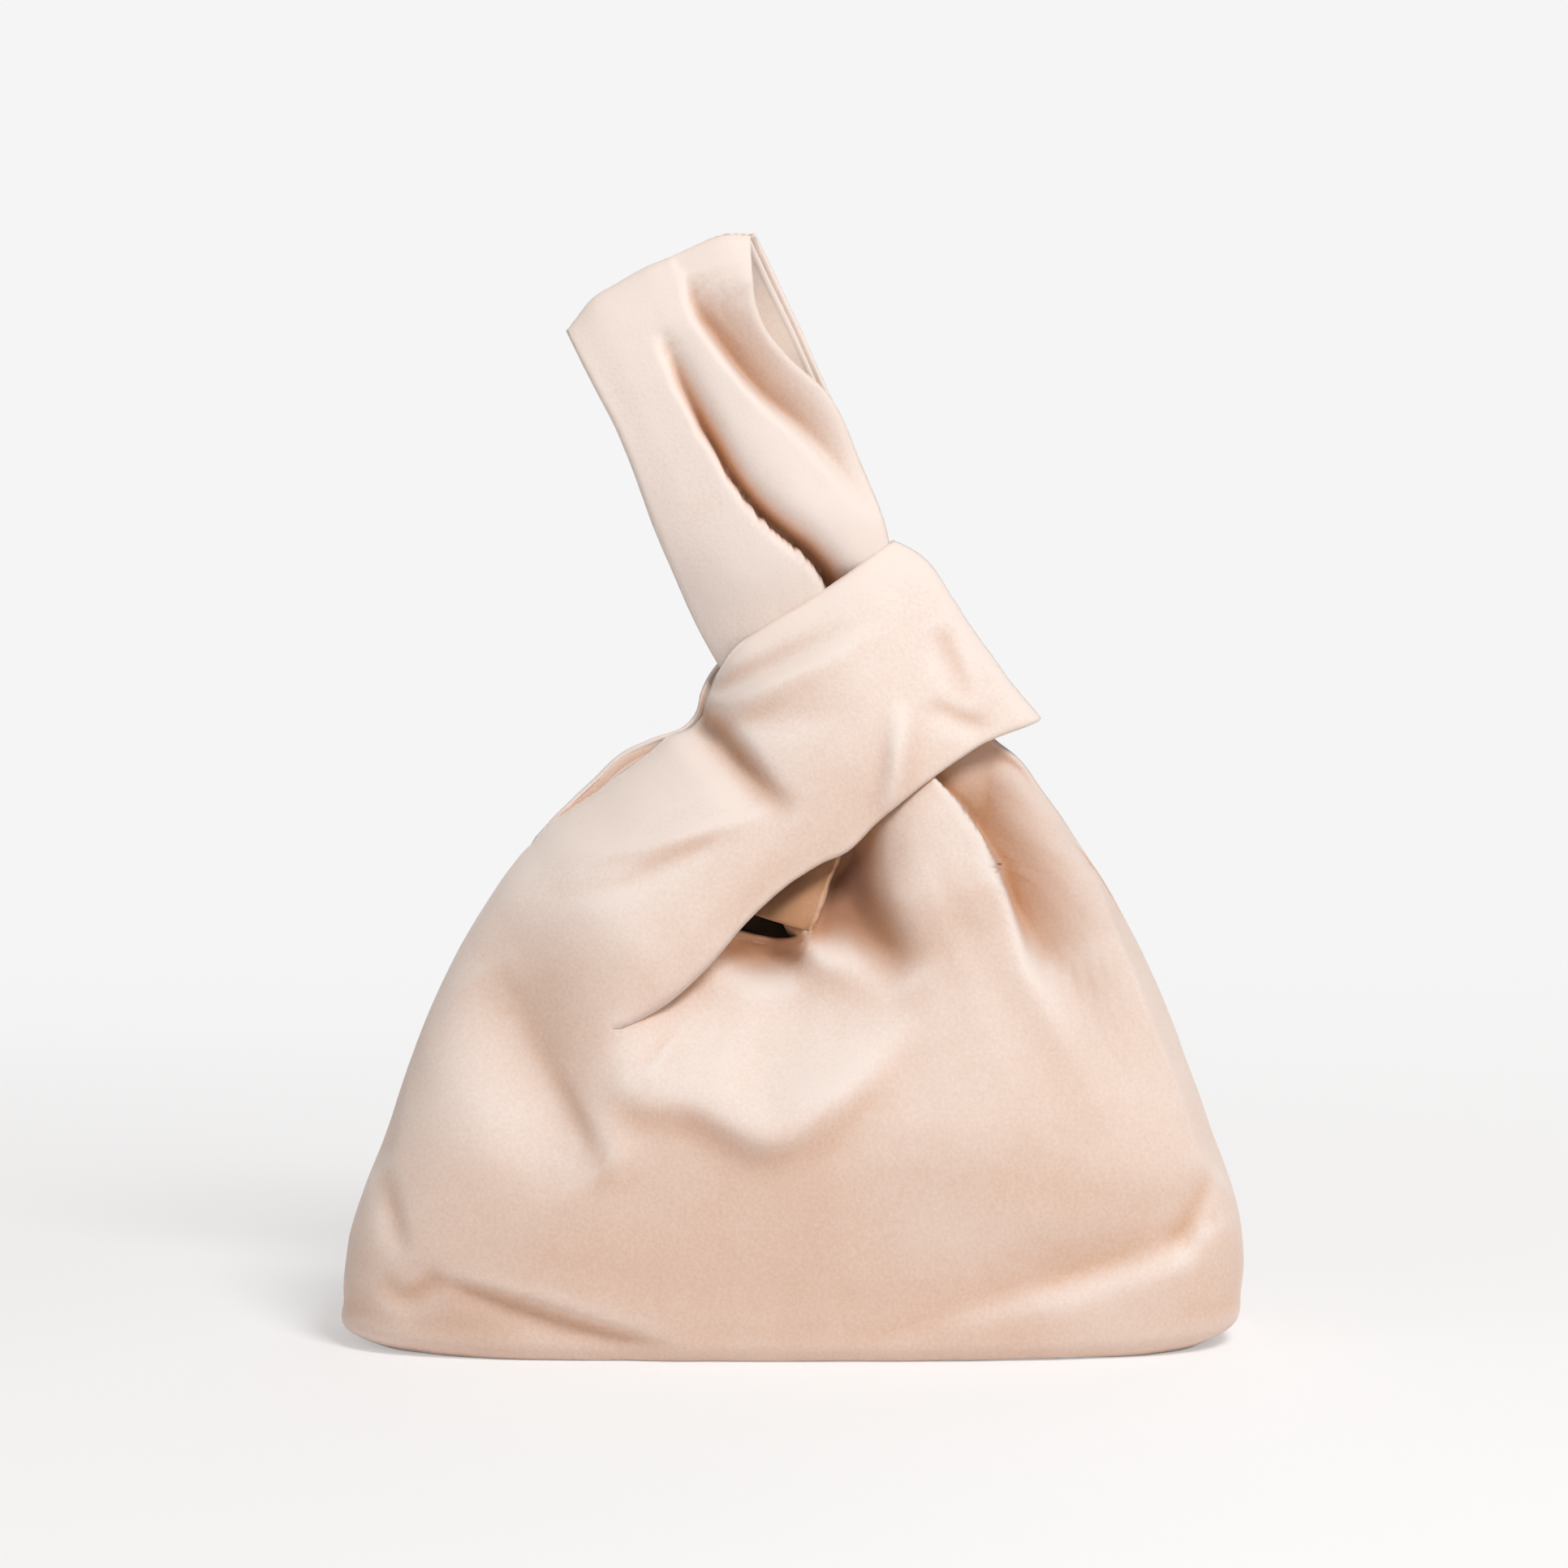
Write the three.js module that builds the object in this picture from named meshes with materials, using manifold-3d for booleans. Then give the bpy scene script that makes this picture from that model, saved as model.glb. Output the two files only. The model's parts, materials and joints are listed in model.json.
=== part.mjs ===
// A knot bag: a lined cloth pouch with a short loop on its left shoulder and a long loop on its right.
// The long loop is drawn up through the short one, which grips it as a knot and shuts the mouth.
// Millimetres, +Z up, +X to the right in the front view, the front faces -Y.
// The origin is on the floor, under the middle of the base.

import * as THREE from 'three';
import Module from 'manifold-3d';
import { mergeVertices } from 'three/addons/utils/BufferGeometryUtils.js';

// Cloth
const clothThickness = 1.2;
const liningThickness = 1.0;
const plyGap = 0.3;              // air between the outer cloth and the lining
const seamGap = 1.6;             // slot between two cloth edges that a seam closes
const threadDiameter = 1.0;
const seamLand = 2.4;            // flat strip of cloth beside the seam at the end of a loop, from the middle
const joinGap = 0.5;             // along the shoulder lines, where the loops grow out of the panels

// Pouch
const baseWidth = 260;
const baseDepth = 100;
const bellyHeight = 22;          // height of the widest section, above the rounded base edge
const baseInset = 12;            // how far the base edge curls in at the sides, down to the floor
const baseFrontInset = 5;        // and at the front and back, where the cloth turns under more sharply
const taperHeight = 228;         // from the belly up to where the sides would meet
const taperPower = 1.63;
const closeHeight = 190;         // from the belly up to where the front and back would meet
const closePower = 1.7;
const sagDepth = 3.5;            // the cloth bags out over the base, at the front and back
const sagHeight = 65;
const sagSpread = 28;
const hollowDepth = 10.5;        // below the neckline the cloth sinks in
const hollowCentre = new THREE.Vector2(-8, 105);
const hollowWidth = 36;
const hollowHeight = 20;
const hollowFade = 18;           // from the neckline's left end
const foldDepth = 5;             // of the long fold under the left shoulder
const foldTop = new THREE.Vector2(-84, 107);
const foldFoot = new THREE.Vector2(-52, 53);
const foldLeftSpread = 9;
const foldRightSpread = 17;
const sideLean = 0.035;          // the pouch is drawn to the right as it rises
const baseSquareness = 3.2;
const shoulderSquareness = 2.2;
const squareHeight = 120;        // over which the section goes from square to oval
const baseSeamInset = 20;        // the base seam stops this far short of the side seams, at the boxed corners
const seamBreak = 1;             // between the base seam's end and a side seam
const leftArmholeHeight = 147;
const rightArmholeHeight = 140;
const necklineLeft = new THREE.Vector2(-45, 98);
const necklineRight = new THREE.Vector2(7, 121);
const necklineEase = 1.25;       // above 1 the neckline leaves its left end flatter, clear of the short loop

// Knot: the short loop lies across the long one
const knotCentre = new THREE.Vector3(17.7, 0, 186.6);
const ribbonAngle = 36;          // degrees, the short loop rises to the right
const ribbonBelow = 34.5;        // from the knot's centre line to the neckline edge
const ribbonAbove = 32;          // and to the armhole edge
const ribbonPinch = 9;           // how far the armhole edge dips where the loop closes on the handle
const pinchStart = 28;           // the dip starts this far left of the knot
const pinchEnd = 45;             // and is whole here
const ribbonReach = 42.5;        // from the knot's centre to the fold at the loop's end
const foldLength = 31;           // the round turn at that end
const necklineDepth = 34;        // half depth of the loop at its neckline edge, over the knot
const armholeDepth = 13;         // and at its armhole edge
const armholeSlimDepth = 9;      // at the same edge, near the shoulder
const necklineTuck = 0.25;       // share of its depth that the neckline edge loses on its way to the fold
const shoulderDepth = 41;        // half depth of the neckline edge where it stands off the mouth
const shoulderReach = 72;        // how far left of the knot that is
const ribbonCrown = 5;

// Handle: the part of the long loop above the knot
const handleLean = 24.4;         // degrees, to the left
const handleTop = 135.5;         // above the knot's centre, along the handle
const handleFoot = 48;           // where the handle leaves the knot and folds
const handleFootWidth = 54;
const footStraight = 3;          // of the legs, before they part
const handleTopWidth = 64;
const handleDepth = 30;          // of the loop that a hand goes through, over its outer faces
const topRound = 32;             // height of the round turn at the top
const neckWidth = 48;            // the strap gathered inside the knot
const swingHeight = 19.5;        // pivot of the sideways swing, above the knot's centre
const swingRadius = 30;
const foldRange = 75;            // degrees, forwards and backwards
const stemFoot = -42;            // lower end of the gathered strap
const rootTop = -12;             // how far the strap's root reaches up around the gathered strap
const rootWidth = 52;
const gatherRise = 22;           // from the stem's foot to where the root is fully gathered
const fitGap = 0.4;              // running gap inside the knot
const foldGap = 0.45;            // running gap at the handle's fold

// Sections of the long loop's root on its way into the knot, by their rise from the stem's foot
const openSections = [
  { rise: -8, left: -32, right: 44, leftDepth: 27, rightDepth: 11, crown: 7 },
  { rise: 4, left: -26, right: 37, leftDepth: 20, rightDepth: 10, crown: 5 },
  { rise: 16, left: -26, right: 29, leftDepth: 11, rightDepth: 8, crown: 2 },
];

// Worked out from the sizes above
const plies = clothThickness + plyGap + liningThickness;
const stemHalf = plies + plyGap / 2;
const rootDepth = stemHalf + fitGap + plies;
const front = -1;
const back = 1;
const outerPly = { from: 0, to: clothThickness };
const liningPly = { from: clothThickness + plyGap, to: plies };

const { lerp, clamp, smoothstep, degToRad } = THREE.MathUtils;
const wasm = await Module();
wasm.setup();

// Materials: blush cloth, a warmer lining, and thread
const outerCloth = new THREE.MeshStandardMaterial({ color: 0xecd0bf, roughness: 0.72, metalness: 0 });
const liningCloth = new THREE.MeshStandardMaterial({ color: 0xdcb695, roughness: 0.8, metalness: 0 });
const seamThread = new THREE.MeshStandardMaterial({ color: 0xdcbfae, roughness: 0.85, metalness: 0 });

// The pouch's section at a height: an oval that squares up towards the base
function taper(z, height, power) {
  return 1 - (Math.max(0, z - bellyHeight) / height) ** power;
}

function baseCurl(z, inset) {
  const below = Math.max(0, 1 - z / bellyHeight);
  return inset * (1 - Math.sqrt(1 - below ** 2));
}

function halfWidth(z) {
  return (baseWidth / 2) * taper(z, taperHeight, taperPower) - baseCurl(z, baseInset);
}

function bell(distance, spread) {
  return Math.exp(-((distance / spread) ** 2));
}

function halfDepth(z) {
  const sag = sagDepth * bell(z - sagHeight, sagSpread);
  return (baseDepth / 2) * taper(z, closeHeight, closePower) + sag - baseCurl(z, baseFrontInset);
}

// How far the cloth sinks in at a point of the front view: the hollow below the neckline, and the long fold
function sunk(x, z) {
  const beside = smoothstep(x, necklineLeft.x, necklineLeft.x + hollowFade);
  const hollow = bell(x - hollowCentre.x, hollowWidth) * bell(z - hollowCentre.y, hollowHeight) * beside;
  const run = foldFoot.clone().sub(foldTop);
  const reach = new THREE.Vector2(x, z).sub(foldTop);
  const along = clamp(reach.dot(run) / run.lengthSq(), 0, 1);
  const across = run.cross(reach) / run.length();
  const fold = bell(across, across > 0 ? foldRightSpread : foldLeftSpread) * Math.sin(Math.PI * along);
  return hollowDepth * hollow + foldDepth * fold;
}

function centreX(z) {
  return sideLean * Math.max(0, z - bellyHeight);
}

function squareness(z) {
  const rise = clamp((z - bellyHeight) / squareHeight, 0, 1);
  return lerp(baseSquareness, shoulderSquareness, rise);
}

// s runs from -1 at the left side seam to 1 at the right one
function pouchX(s, z) {
  return centreX(z) + halfWidth(z) * Math.sin((Math.PI / 2) * s);
}

function pouchPoint(s, z, side) {
  const across = Math.abs(Math.sin((Math.PI / 2) * s));
  const power = squareness(z);
  const fullness = Math.max(0, 1 - across ** power) ** (1 / power);
  const x = pouchX(s, z);
  const depth = lerp(seamGap / 2, halfDepth(z) - sunk(x, z), fullness);
  return new THREE.Vector3(x, side * depth, z);
}

function columnAt(x, z) {
  return Math.asin((x - centreX(z)) / halfWidth(z)) / (Math.PI / 2);
}

// Height at which column s crosses the straight line between two points of the front view
function heightOnLine(s, start, end) {
  let low = 0;
  let high = 1;
  const gap = (t) => pouchX(s, lerp(start.y, end.y, t)) - lerp(start.x, end.x, t);
  const rising = gap(1) > gap(0);
  for (let step = 0; step < 40; step += 1) {
    const middle = (low + high) / 2;
    if (gap(middle) > 0 === rising) high = middle;
    else low = middle;
  }
  return lerp(start.y, end.y, (low + high) / 2);
}

// Upper edge of a panel: left shoulder line, neckline, right shoulder line
const leftArmhole = new THREE.Vector2(pouchX(-1, leftArmholeHeight), leftArmholeHeight);
const rightArmhole = new THREE.Vector2(pouchX(1, rightArmholeHeight), rightArmholeHeight);
const leftColumn = columnAt(necklineLeft.x, necklineLeft.y);
const rightColumn = columnAt(necklineRight.x, necklineRight.y);

function panelTop(s) {
  if (s <= -1) return leftArmholeHeight;
  if (s >= 1) return rightArmholeHeight;
  if (s < leftColumn) return heightOnLine(s, leftArmhole, necklineLeft);
  if (s > rightColumn) return heightOnLine(s, necklineRight, rightArmhole);
  const share = (s - leftColumn) / (rightColumn - leftColumn);
  return lerp(necklineLeft.y, necklineRight.y, Math.sin((share * Math.PI) / 2) ** necklineEase);
}

// Directions from the outer face of a sheet, given as rows of points, towards the bag's middle
function inwardNormals(rows, side) {
  const at = (i, j) => rows[clamp(i, 0, rows.length - 1)][clamp(j, 0, rows[0].length - 1)];
  const normals = rows.map((row, i) => row.map((_, j) => {
    const along = at(i + 1, j).clone().sub(at(i - 1, j));
    const across = at(i, j + 1).clone().sub(at(i, j - 1));
    return along.cross(across).normalize();
  }));
  const middle = normals[Math.floor(rows.length / 2)][Math.floor(rows[0].length / 2)];
  if (Math.sign(middle.y) === side) normals.flat().forEach((normal) => normal.negate());
  return normals;
}

// A closed sheet of cloth whose two faces lie from and to under its outer face
function clothSheet({ rows, normals, shapeEdge }, ply) {
  const rowCount = rows.length;
  const columnCount = rows[0].length;
  const positions = [];
  for (const offset of [ply.from, ply.to]) {
    rows.forEach((row, i) => row.forEach((point, j) => {
      const moved = point.clone().addScaledVector(normals[i][j], offset);
      if (shapeEdge && i === 0) shapeEdge(moved);
      positions.push(moved.x, moved.y, moved.z);
    }));
  }
  const inner = rowCount * columnCount;
  const index = [];
  const quad = (a, b, c, d) => index.push(a, b, c, a, c, d);
  for (let i = 0; i < rowCount - 1; i += 1) {
    for (let j = 0; j < columnCount - 1; j += 1) {
      const a = i * columnCount + j;
      const c = a + columnCount;
      quad(a, a + 1, c + 1, c);
      quad(inner + a, inner + c, inner + c + 1, inner + a + 1);
    }
  }
  const rim = [];
  for (let j = 0; j < columnCount - 1; j += 1) rim.push(j);
  for (let i = 0; i < rowCount - 1; i += 1) rim.push(i * columnCount + columnCount - 1);
  for (let j = columnCount - 1; j > 0; j -= 1) rim.push((rowCount - 1) * columnCount + j);
  for (let i = rowCount - 1; i > 0; i -= 1) rim.push(i * columnCount);
  rim.forEach((a, k) => {
    const b = rim[(k + 1) % rim.length];
    quad(b, a, inner + a, inner + b);
  });
  return facingOut(positions, index);
}

function facingOut(positions, index) {
  const geometry = new THREE.BufferGeometry();
  geometry.setAttribute('position', new THREE.Float32BufferAttribute(positions, 3));
  const corner = (k) => new THREE.Vector3().fromArray(positions, 3 * index[k]);
  let volume = 0;
  for (let k = 0; k < index.length; k += 3) volume += corner(k).dot(corner(k + 1).cross(corner(k + 2)));
  geometry.setIndex(volume < 0 ? index.slice().reverse() : index);
  geometry.computeVertexNormals();
  return geometry;
}

// A round thread laid along a curve
function threadAlong(points, steps) {
  const section = new THREE.Shape();
  const sides = 6;
  for (let k = 0; k < sides; k += 1) {
    const angle = (2 * Math.PI * k) / sides;
    const x = (threadDiameter / 2) * Math.cos(angle);
    const y = (threadDiameter / 2) * Math.sin(angle);
    if (k === 0) section.moveTo(x, y);
    else section.lineTo(x, y);
  }
  const extrudePath = new THREE.CatmullRomCurve3(points, false, 'centripetal');
  return new THREE.ExtrudeGeometry(section, { steps, extrudePath });
}

// Boolean cuts
function toSolid(geometry) {
  const bare = geometry.clone();
  bare.deleteAttribute('normal');
  bare.deleteAttribute('uv');
  const merged = mergeVertices(bare, 1e-4);
  return new wasm.Manifold(new wasm.Mesh({
    numProp: 3,
    vertProperties: new Float32Array(merged.attributes.position.array),
    triVerts: new Uint32Array(merged.index.array),
  }));
}

function fromSolid(solid) {
  const mesh = solid.getMesh();
  const geometry = new THREE.BufferGeometry();
  geometry.setAttribute('position', new THREE.BufferAttribute(mesh.vertProperties, 3));
  geometry.setIndex(new THREE.BufferAttribute(mesh.triVerts, 1));
  geometry.computeVertexNormals();
  return geometry;
}

function range(from, to, count) {
  return Array.from({ length: count + 1 }, (_, k) => lerp(from, to, k / count));
}

// The pouch's two panels, each with its half of the flat base, the rounded edge and the wall
const edgeColumn = 0.94;
const cornerColumn = 0.84;
const panelColumns = [
  -1, -edgeColumn, ...range(-cornerColumn, leftColumn, 6),
  ...range(leftColumn, rightColumn, 5).slice(1),
  ...range(rightColumn, cornerColumn, 5).slice(1), edgeColumn, 1,
];
const baseShares = [0, 0.5, 1];
const curlShares = [0.12, 0.34, 0.62, 1];
const wallShares = range(0, 1, 9).slice(1);

function panel(side) {
  const seamShare = 1 - baseSeamInset / halfWidth(0);
  const baseRows = baseShares.map((share) => panelColumns.map((s) => {
    const edge = pouchPoint(s, 0, side);
    const seam = new THREE.Vector3(edge.x * seamShare, (side * seamGap) / 2, 0);
    return seam.lerp(edge, share);
  }));
  const curlRows = curlShares.map((share) => panelColumns.map((s) => (
    pouchPoint(s, bellyHeight * share, side)
  )));
  const wallRows = wallShares.map((share) => panelColumns.map((s) => (
    pouchPoint(s, lerp(bellyHeight, panelTop(s), share), side)
  )));
  const rows = [...baseRows, ...curlRows, ...wallRows];
  return { rows, normals: inwardNormals(rows, side) };
}

// Turns a point of a frame that leans about the knot's centre into the bag's frame
function leaning(angle, across, depth, along) {
  const turn = degToRad(angle);
  return new THREE.Vector3(
    knotCentre.x + across * Math.cos(turn) - along * Math.sin(turn),
    depth,
    knotCentre.z + across * Math.sin(turn) + along * Math.cos(turn),
  );
}

// A loop starts from a shoulder line just clear of the panel, and leaves it at the panel's slope
function grownFrom(columns, side, angle, step, laterRows) {
  const base = panel(side);
  const picked = columns.map((s) => panelColumns.indexOf(s));
  const shift = leaning(angle, step.x, 0, step.y).sub(knotCentre);
  const shoulder = picked.map((j) => base.rows.at(-1)[j].clone().add(shift));
  const rows = [shoulder, ...laterRows];
  const normals = inwardNormals(rows, side);
  normals[0] = picked.map((j) => base.normals.at(-1)[j]);
  return { rows, normals };
}

// The short loop: from the left shoulder line, across the front of the knot, to the fold at its end
const ribbonColumns = panelColumns.filter((s) => s <= leftColumn).reverse();
const ribbonShares = range(0, 1, ribbonColumns.length - 1);
const ribbonStep = new THREE.Vector2(joinGap, 0);
const turnStart = ribbonReach - foldLength;
const ribbonStations = range(-shoulderReach, -turnStart, 3);
const turnAngles = range(0, Math.PI / 2, 6);

function ribbonDepth(along, share) {
  const neckline = lerp(shoulderDepth, necklineDepth, smoothstep(along, -shoulderReach, -ribbonBelow));
  const narrowing = 1 - necklineTuck * smoothstep(along, -ribbonBelow, turnStart);
  const armhole = lerp(armholeSlimDepth, armholeDepth, smoothstep(along, -shoulderReach, -ribbonBelow));
  return lerp(neckline * narrowing, armhole, share) + 4 * ribbonCrown * share * (1 - share);
}

function ribbonPoint(along, share, side, turnAngle) {
  const pinch = ribbonPinch * smoothstep(-along, pinchStart, pinchEnd);
  const across = lerp(-ribbonBelow, ribbonAbove - pinch, share);
  const depth = lerp(seamLand, ribbonDepth(along, share), Math.cos(turnAngle));
  return leaning(ribbonAngle, along + foldLength * Math.sin(turnAngle), side * depth, across);
}

function shortLoop(side) {
  const straight = ribbonStations.map((along) => ribbonShares.map((share) => (
    ribbonPoint(along, share, side, 0)
  )));
  const turn = turnAngles.map((angle) => ribbonShares.map((share) => (
    ribbonPoint(turnStart, share, side, angle)
  )));
  const seam = ribbonShares.map((share) => (
    leaning(ribbonAngle, ribbonReach, (side * seamGap) / 2, lerp(-ribbonBelow, ribbonAbove, share))
  ));
  return grownFrom(ribbonColumns, side, ribbonAngle, ribbonStep, [...straight, ...turn, seam]);
}

// The long loop's root: from the right shoulder line up into the knot, gathered as it goes
const rootColumns = panelColumns.filter((s) => s >= rightColumn);
const rootShares = range(0, 1, rootColumns.length - 1);
const rootStep = new THREE.Vector2(0, joinGap);
const gathered = {
  left: -rootWidth / 2, right: rootWidth / 2, leftDepth: rootDepth, rightDepth: rootDepth, crown: 0,
};
const rootSections = [
  ...openSections,
  { rise: gatherRise, ...gathered },
  { rise: rootTop - stemFoot, ...gathered },
];

function longLoopRoot(side) {
  const sections = rootSections.map((section) => rootShares.map((share) => {
    const across = lerp(section.left, section.right, share);
    const crown = 4 * section.crown * share * (1 - share);
    const depth = lerp(section.leftDepth, section.rightDepth, share) + crown;
    return leaning(handleLean, across, side * depth, stemFoot + section.rise);
  }));
  return grownFrom(rootColumns, side, handleLean, rootStep, sections);
}

// The handle, in its own upright frame: two legs that part above the knot and meet at the top seam
const handleShares = range(0, 1, 4);

function handleLeg(side) {
  const turnFoot = handleTop - topRound;
  const rise = (height) => (height - handleFoot) / (handleTop - handleFoot);
  const width = (height) => lerp(handleFootWidth, handleTopWidth, rise(height));
  const row = (height, depth) => handleShares.map((share) => (
    new THREE.Vector3((share - 0.5) * width(height), side * depth, height)
  ));
  const partFoot = handleFoot + footStraight;
  const legs = [handleFoot, ...range(partFoot, turnFoot, 4)].map((height) => (
    row(height, lerp(stemHalf, handleDepth / 2, smoothstep(height, partFoot, turnFoot)))
  ));
  const turn = turnAngles.slice(1).map((angle) => (
    row(turnFoot + topRound * Math.sin(angle), lerp(seamLand, handleDepth / 2, Math.cos(angle)))
  ));
  const rows = [...legs, ...turn, row(handleTop, seamGap / 2)];
  return { rows, normals: inwardNormals(rows, side), shapeEdge: roundFoot };
}

// The legs' lower ends are rounded about the line that the handle folds on
function roundFoot(vertex) {
  vertex.z = handleFoot - Math.sqrt(Math.max(0, stemHalf ** 2 - vertex.y ** 2));
}

// The gathered strap in the knot: a flat stem that slides, and a neck that swings on its round end
function flatStrap(shape) {
  const settings = { depth: 2 * stemHalf, bevelEnabled: false, curveSegments: 12 };
  const geometry = new THREE.ExtrudeGeometry(shape, settings);
  geometry.translate(0, 0, -stemHalf);
  geometry.rotateX(Math.PI / 2);
  return geometry;
}

function stemGeometry() {
  const half = neckWidth / 2;
  const radius = swingRadius + fitGap;
  const reach = Math.asin(half / radius);
  const shape = new THREE.Shape();
  shape.moveTo(-half, stemFoot);
  shape.lineTo(half, stemFoot);
  shape.lineTo(half, swingHeight - radius * Math.cos(reach));
  shape.absarc(0, swingHeight, radius, reach - Math.PI / 2, -reach - Math.PI / 2, true);
  shape.lineTo(-half, stemFoot);
  return flatStrap(shape);
}

function neckGeometry() {
  const half = neckWidth / 2;
  const reach = Math.asin(half / swingRadius);
  const shape = new THREE.Shape();
  shape.moveTo(-handleFootWidth / 2, handleFoot);
  shape.lineTo(-half, swingHeight - swingRadius * Math.cos(reach));
  shape.absarc(0, swingHeight, swingRadius, -reach - Math.PI / 2, reach - Math.PI / 2, false);
  shape.lineTo(handleFootWidth / 2, handleFoot);
  const groove = new THREE.CylinderGeometry(stemHalf + foldGap, stemHalf + foldGap, 2 * handleFootWidth, 24);
  groove.rotateZ(Math.PI / 2);
  groove.translate(0, 0, handleFoot);
  let neck = toSolid(flatStrap(shape)).subtract(toSolid(groove));
  for (const side of [front, back]) neck = neck.subtract(toSolid(foldedLegs(side)));
  return fromSolid(neck);
}

// The room that the legs take when the handle lies folded over the neck's upper edge
function foldedLegs(side) {
  const thickness = 2 * (stemHalf + foldGap);
  const reach = 4 * thickness;
  const room = new THREE.BoxGeometry(2 * handleFootWidth, thickness, reach);
  room.translate(0, 0, reach / 2);
  room.rotateX(-side * degToRad(foldRange));
  room.translate(0, 0, handleFoot);
  return room;
}

// Seams: threads in the slots between the cloth edges
const threadInset = clothThickness / 2;

function sideSeam(sign) {
  const armhole = sign < 0 ? leftArmholeHeight : rightArmholeHeight;
  const heights = [bellyHeight / 8, bellyHeight / 2, ...range(bellyHeight, armhole, 4)];
  const baseEnds = [baseSeamInset - seamBreak, baseSeamInset / 4];
  const points = [
    ...baseEnds.map((inset) => new THREE.Vector3(pouchX(sign, 0) - sign * inset, 0, 2 * threadInset)),
    ...heights.map((z) => new THREE.Vector3(pouchX(sign, z) - sign * threadInset, 0, z)),
  ];
  return threadAlong(points, 26);
}

function baseSeam() {
  const reach = halfWidth(0) - baseSeamInset;
  return threadAlong([-reach, 0, reach].map((x) => new THREE.Vector3(x, 0, threadInset)), 2);
}

function shortLoopSeam() {
  const along = ribbonReach - threadInset;
  const ends = [-ribbonBelow, 0, ribbonAbove];
  return threadAlong(ends.map((across) => leaning(ribbonAngle, along, 0, across)), 2);
}

function handleSeam() {
  const height = handleTop - threadInset;
  return threadAlong([-0.5, 0, 0.5].map((share) => new THREE.Vector3(share * handleTopWidth, 0, height)), 2);
}

// Assembly
const bag = new THREE.Group();
const handle = new THREE.Group();
handle.position.copy(knotCentre);
handle.rotation.y = -degToRad(handleLean);
bag.add(handle);

function place(parent, name, geometry, material) {
  const mesh = new THREE.Mesh(geometry, material);
  mesh.name = name;
  parent.add(mesh);
}

for (const [word, side] of [['front', front], ['back', back]]) {
  const layers = [
    [bag, `${word}_panel`, panel(side)],
    [bag, `short_loop_${word}`, shortLoop(side)],
    [bag, `long_loop_root_${word}`, longLoopRoot(side)],
    [handle, `handle_${word}`, handleLeg(side)],
  ];
  for (const [parent, name, sheet] of layers) {
    place(parent, name, clothSheet(sheet, outerPly), outerCloth);
    place(parent, `${name}_lining`, clothSheet(sheet, liningPly), liningCloth);
  }
}
place(handle, 'handle_stem', stemGeometry(), outerCloth);
place(handle, 'handle_neck', neckGeometry(), outerCloth);
place(handle, 'handle_top_seam', handleSeam(), seamThread);
place(bag, 'left_side_seam', sideSeam(-1), seamThread);
place(bag, 'right_side_seam', sideSeam(1), seamThread);
place(bag, 'base_seam', baseSeam(), seamThread);
place(bag, 'short_loop_seam', shortLoopSeam(), seamThread);

export default bag;
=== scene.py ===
import json
import math

import bpy
import numpy as np
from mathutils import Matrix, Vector, noise
from mathutils.bvhtree import BVHTree


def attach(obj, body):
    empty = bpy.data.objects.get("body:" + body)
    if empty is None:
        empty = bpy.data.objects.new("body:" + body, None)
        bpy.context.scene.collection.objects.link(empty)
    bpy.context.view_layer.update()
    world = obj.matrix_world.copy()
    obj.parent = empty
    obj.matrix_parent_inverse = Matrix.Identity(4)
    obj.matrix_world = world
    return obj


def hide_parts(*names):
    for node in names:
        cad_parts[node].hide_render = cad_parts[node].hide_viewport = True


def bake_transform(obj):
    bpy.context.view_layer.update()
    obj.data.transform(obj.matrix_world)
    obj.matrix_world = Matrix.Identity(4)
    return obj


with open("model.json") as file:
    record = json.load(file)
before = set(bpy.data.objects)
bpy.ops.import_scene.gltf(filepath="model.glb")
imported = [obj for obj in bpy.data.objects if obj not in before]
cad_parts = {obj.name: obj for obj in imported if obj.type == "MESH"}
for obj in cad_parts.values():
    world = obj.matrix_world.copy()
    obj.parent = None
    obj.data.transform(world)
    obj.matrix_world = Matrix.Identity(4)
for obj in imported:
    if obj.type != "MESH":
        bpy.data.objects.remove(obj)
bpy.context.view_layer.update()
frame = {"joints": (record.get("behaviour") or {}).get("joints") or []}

mm = 0.001
front, back = -1, 1
seamGap = 0.15  # half the gap between two halves at a seam
floorGap = 0.05  # under the base
weldGap = 0.05  # points this close become one
joints = {joint["name"]: joint for joint in frame["joints"]}

# The knot's two directions: the long loop stands along the handle, the short one crosses it
knot = {
    "foldHeight": 48.0,  # of the handle's fold above the knot's centre
    "ribbonAngle": math.radians(36),  # the short loop rises to the right
}
handleRight = np.array(joints["handle_fold"]["axis"])
handleUp = np.array(joints["handle_draw"]["axis"])
knotCentre = np.array(joints["handle_fold"]["pos_m"]) / mm - handleUp * knot["foldHeight"]
ribbonRight = np.array((math.cos(knot["ribbonAngle"]), 0, math.sin(knot["ribbonAngle"])))
ribbonUp = np.array((-ribbonRight[2], 0, ribbonRight[0]))
handleWay, ribbonWay = (handleRight, handleUp), (ribbonRight, ribbonUp)


# Small tools for curves and places, all in millimetres

def smooth(low, high, at):
    share = np.clip((at - low) / (high - low), 0, 1)
    return share * share * (3 - 2 * share)


def curveAt(pairs, at):  # a smooth curve through pairs, level past its ends
    places = np.array([pair[0] for pair in pairs], float)
    values = np.array([pair[1] for pair in pairs], float)
    slopes = np.gradient(values, places)
    at = np.clip(at, places[0], places[-1])
    k = np.clip(np.searchsorted(places, at) - 1, 0, len(places) - 2)
    span = places[k + 1] - places[k]
    t = (at - places[k]) / span
    rise = values[k + 1] - values[k]
    return (values[k] + rise * t * t * (3 - 2 * t)
            + span * t * (1 - t) * (slopes[k] * (1 - t) - slopes[k + 1] * t))


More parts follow.
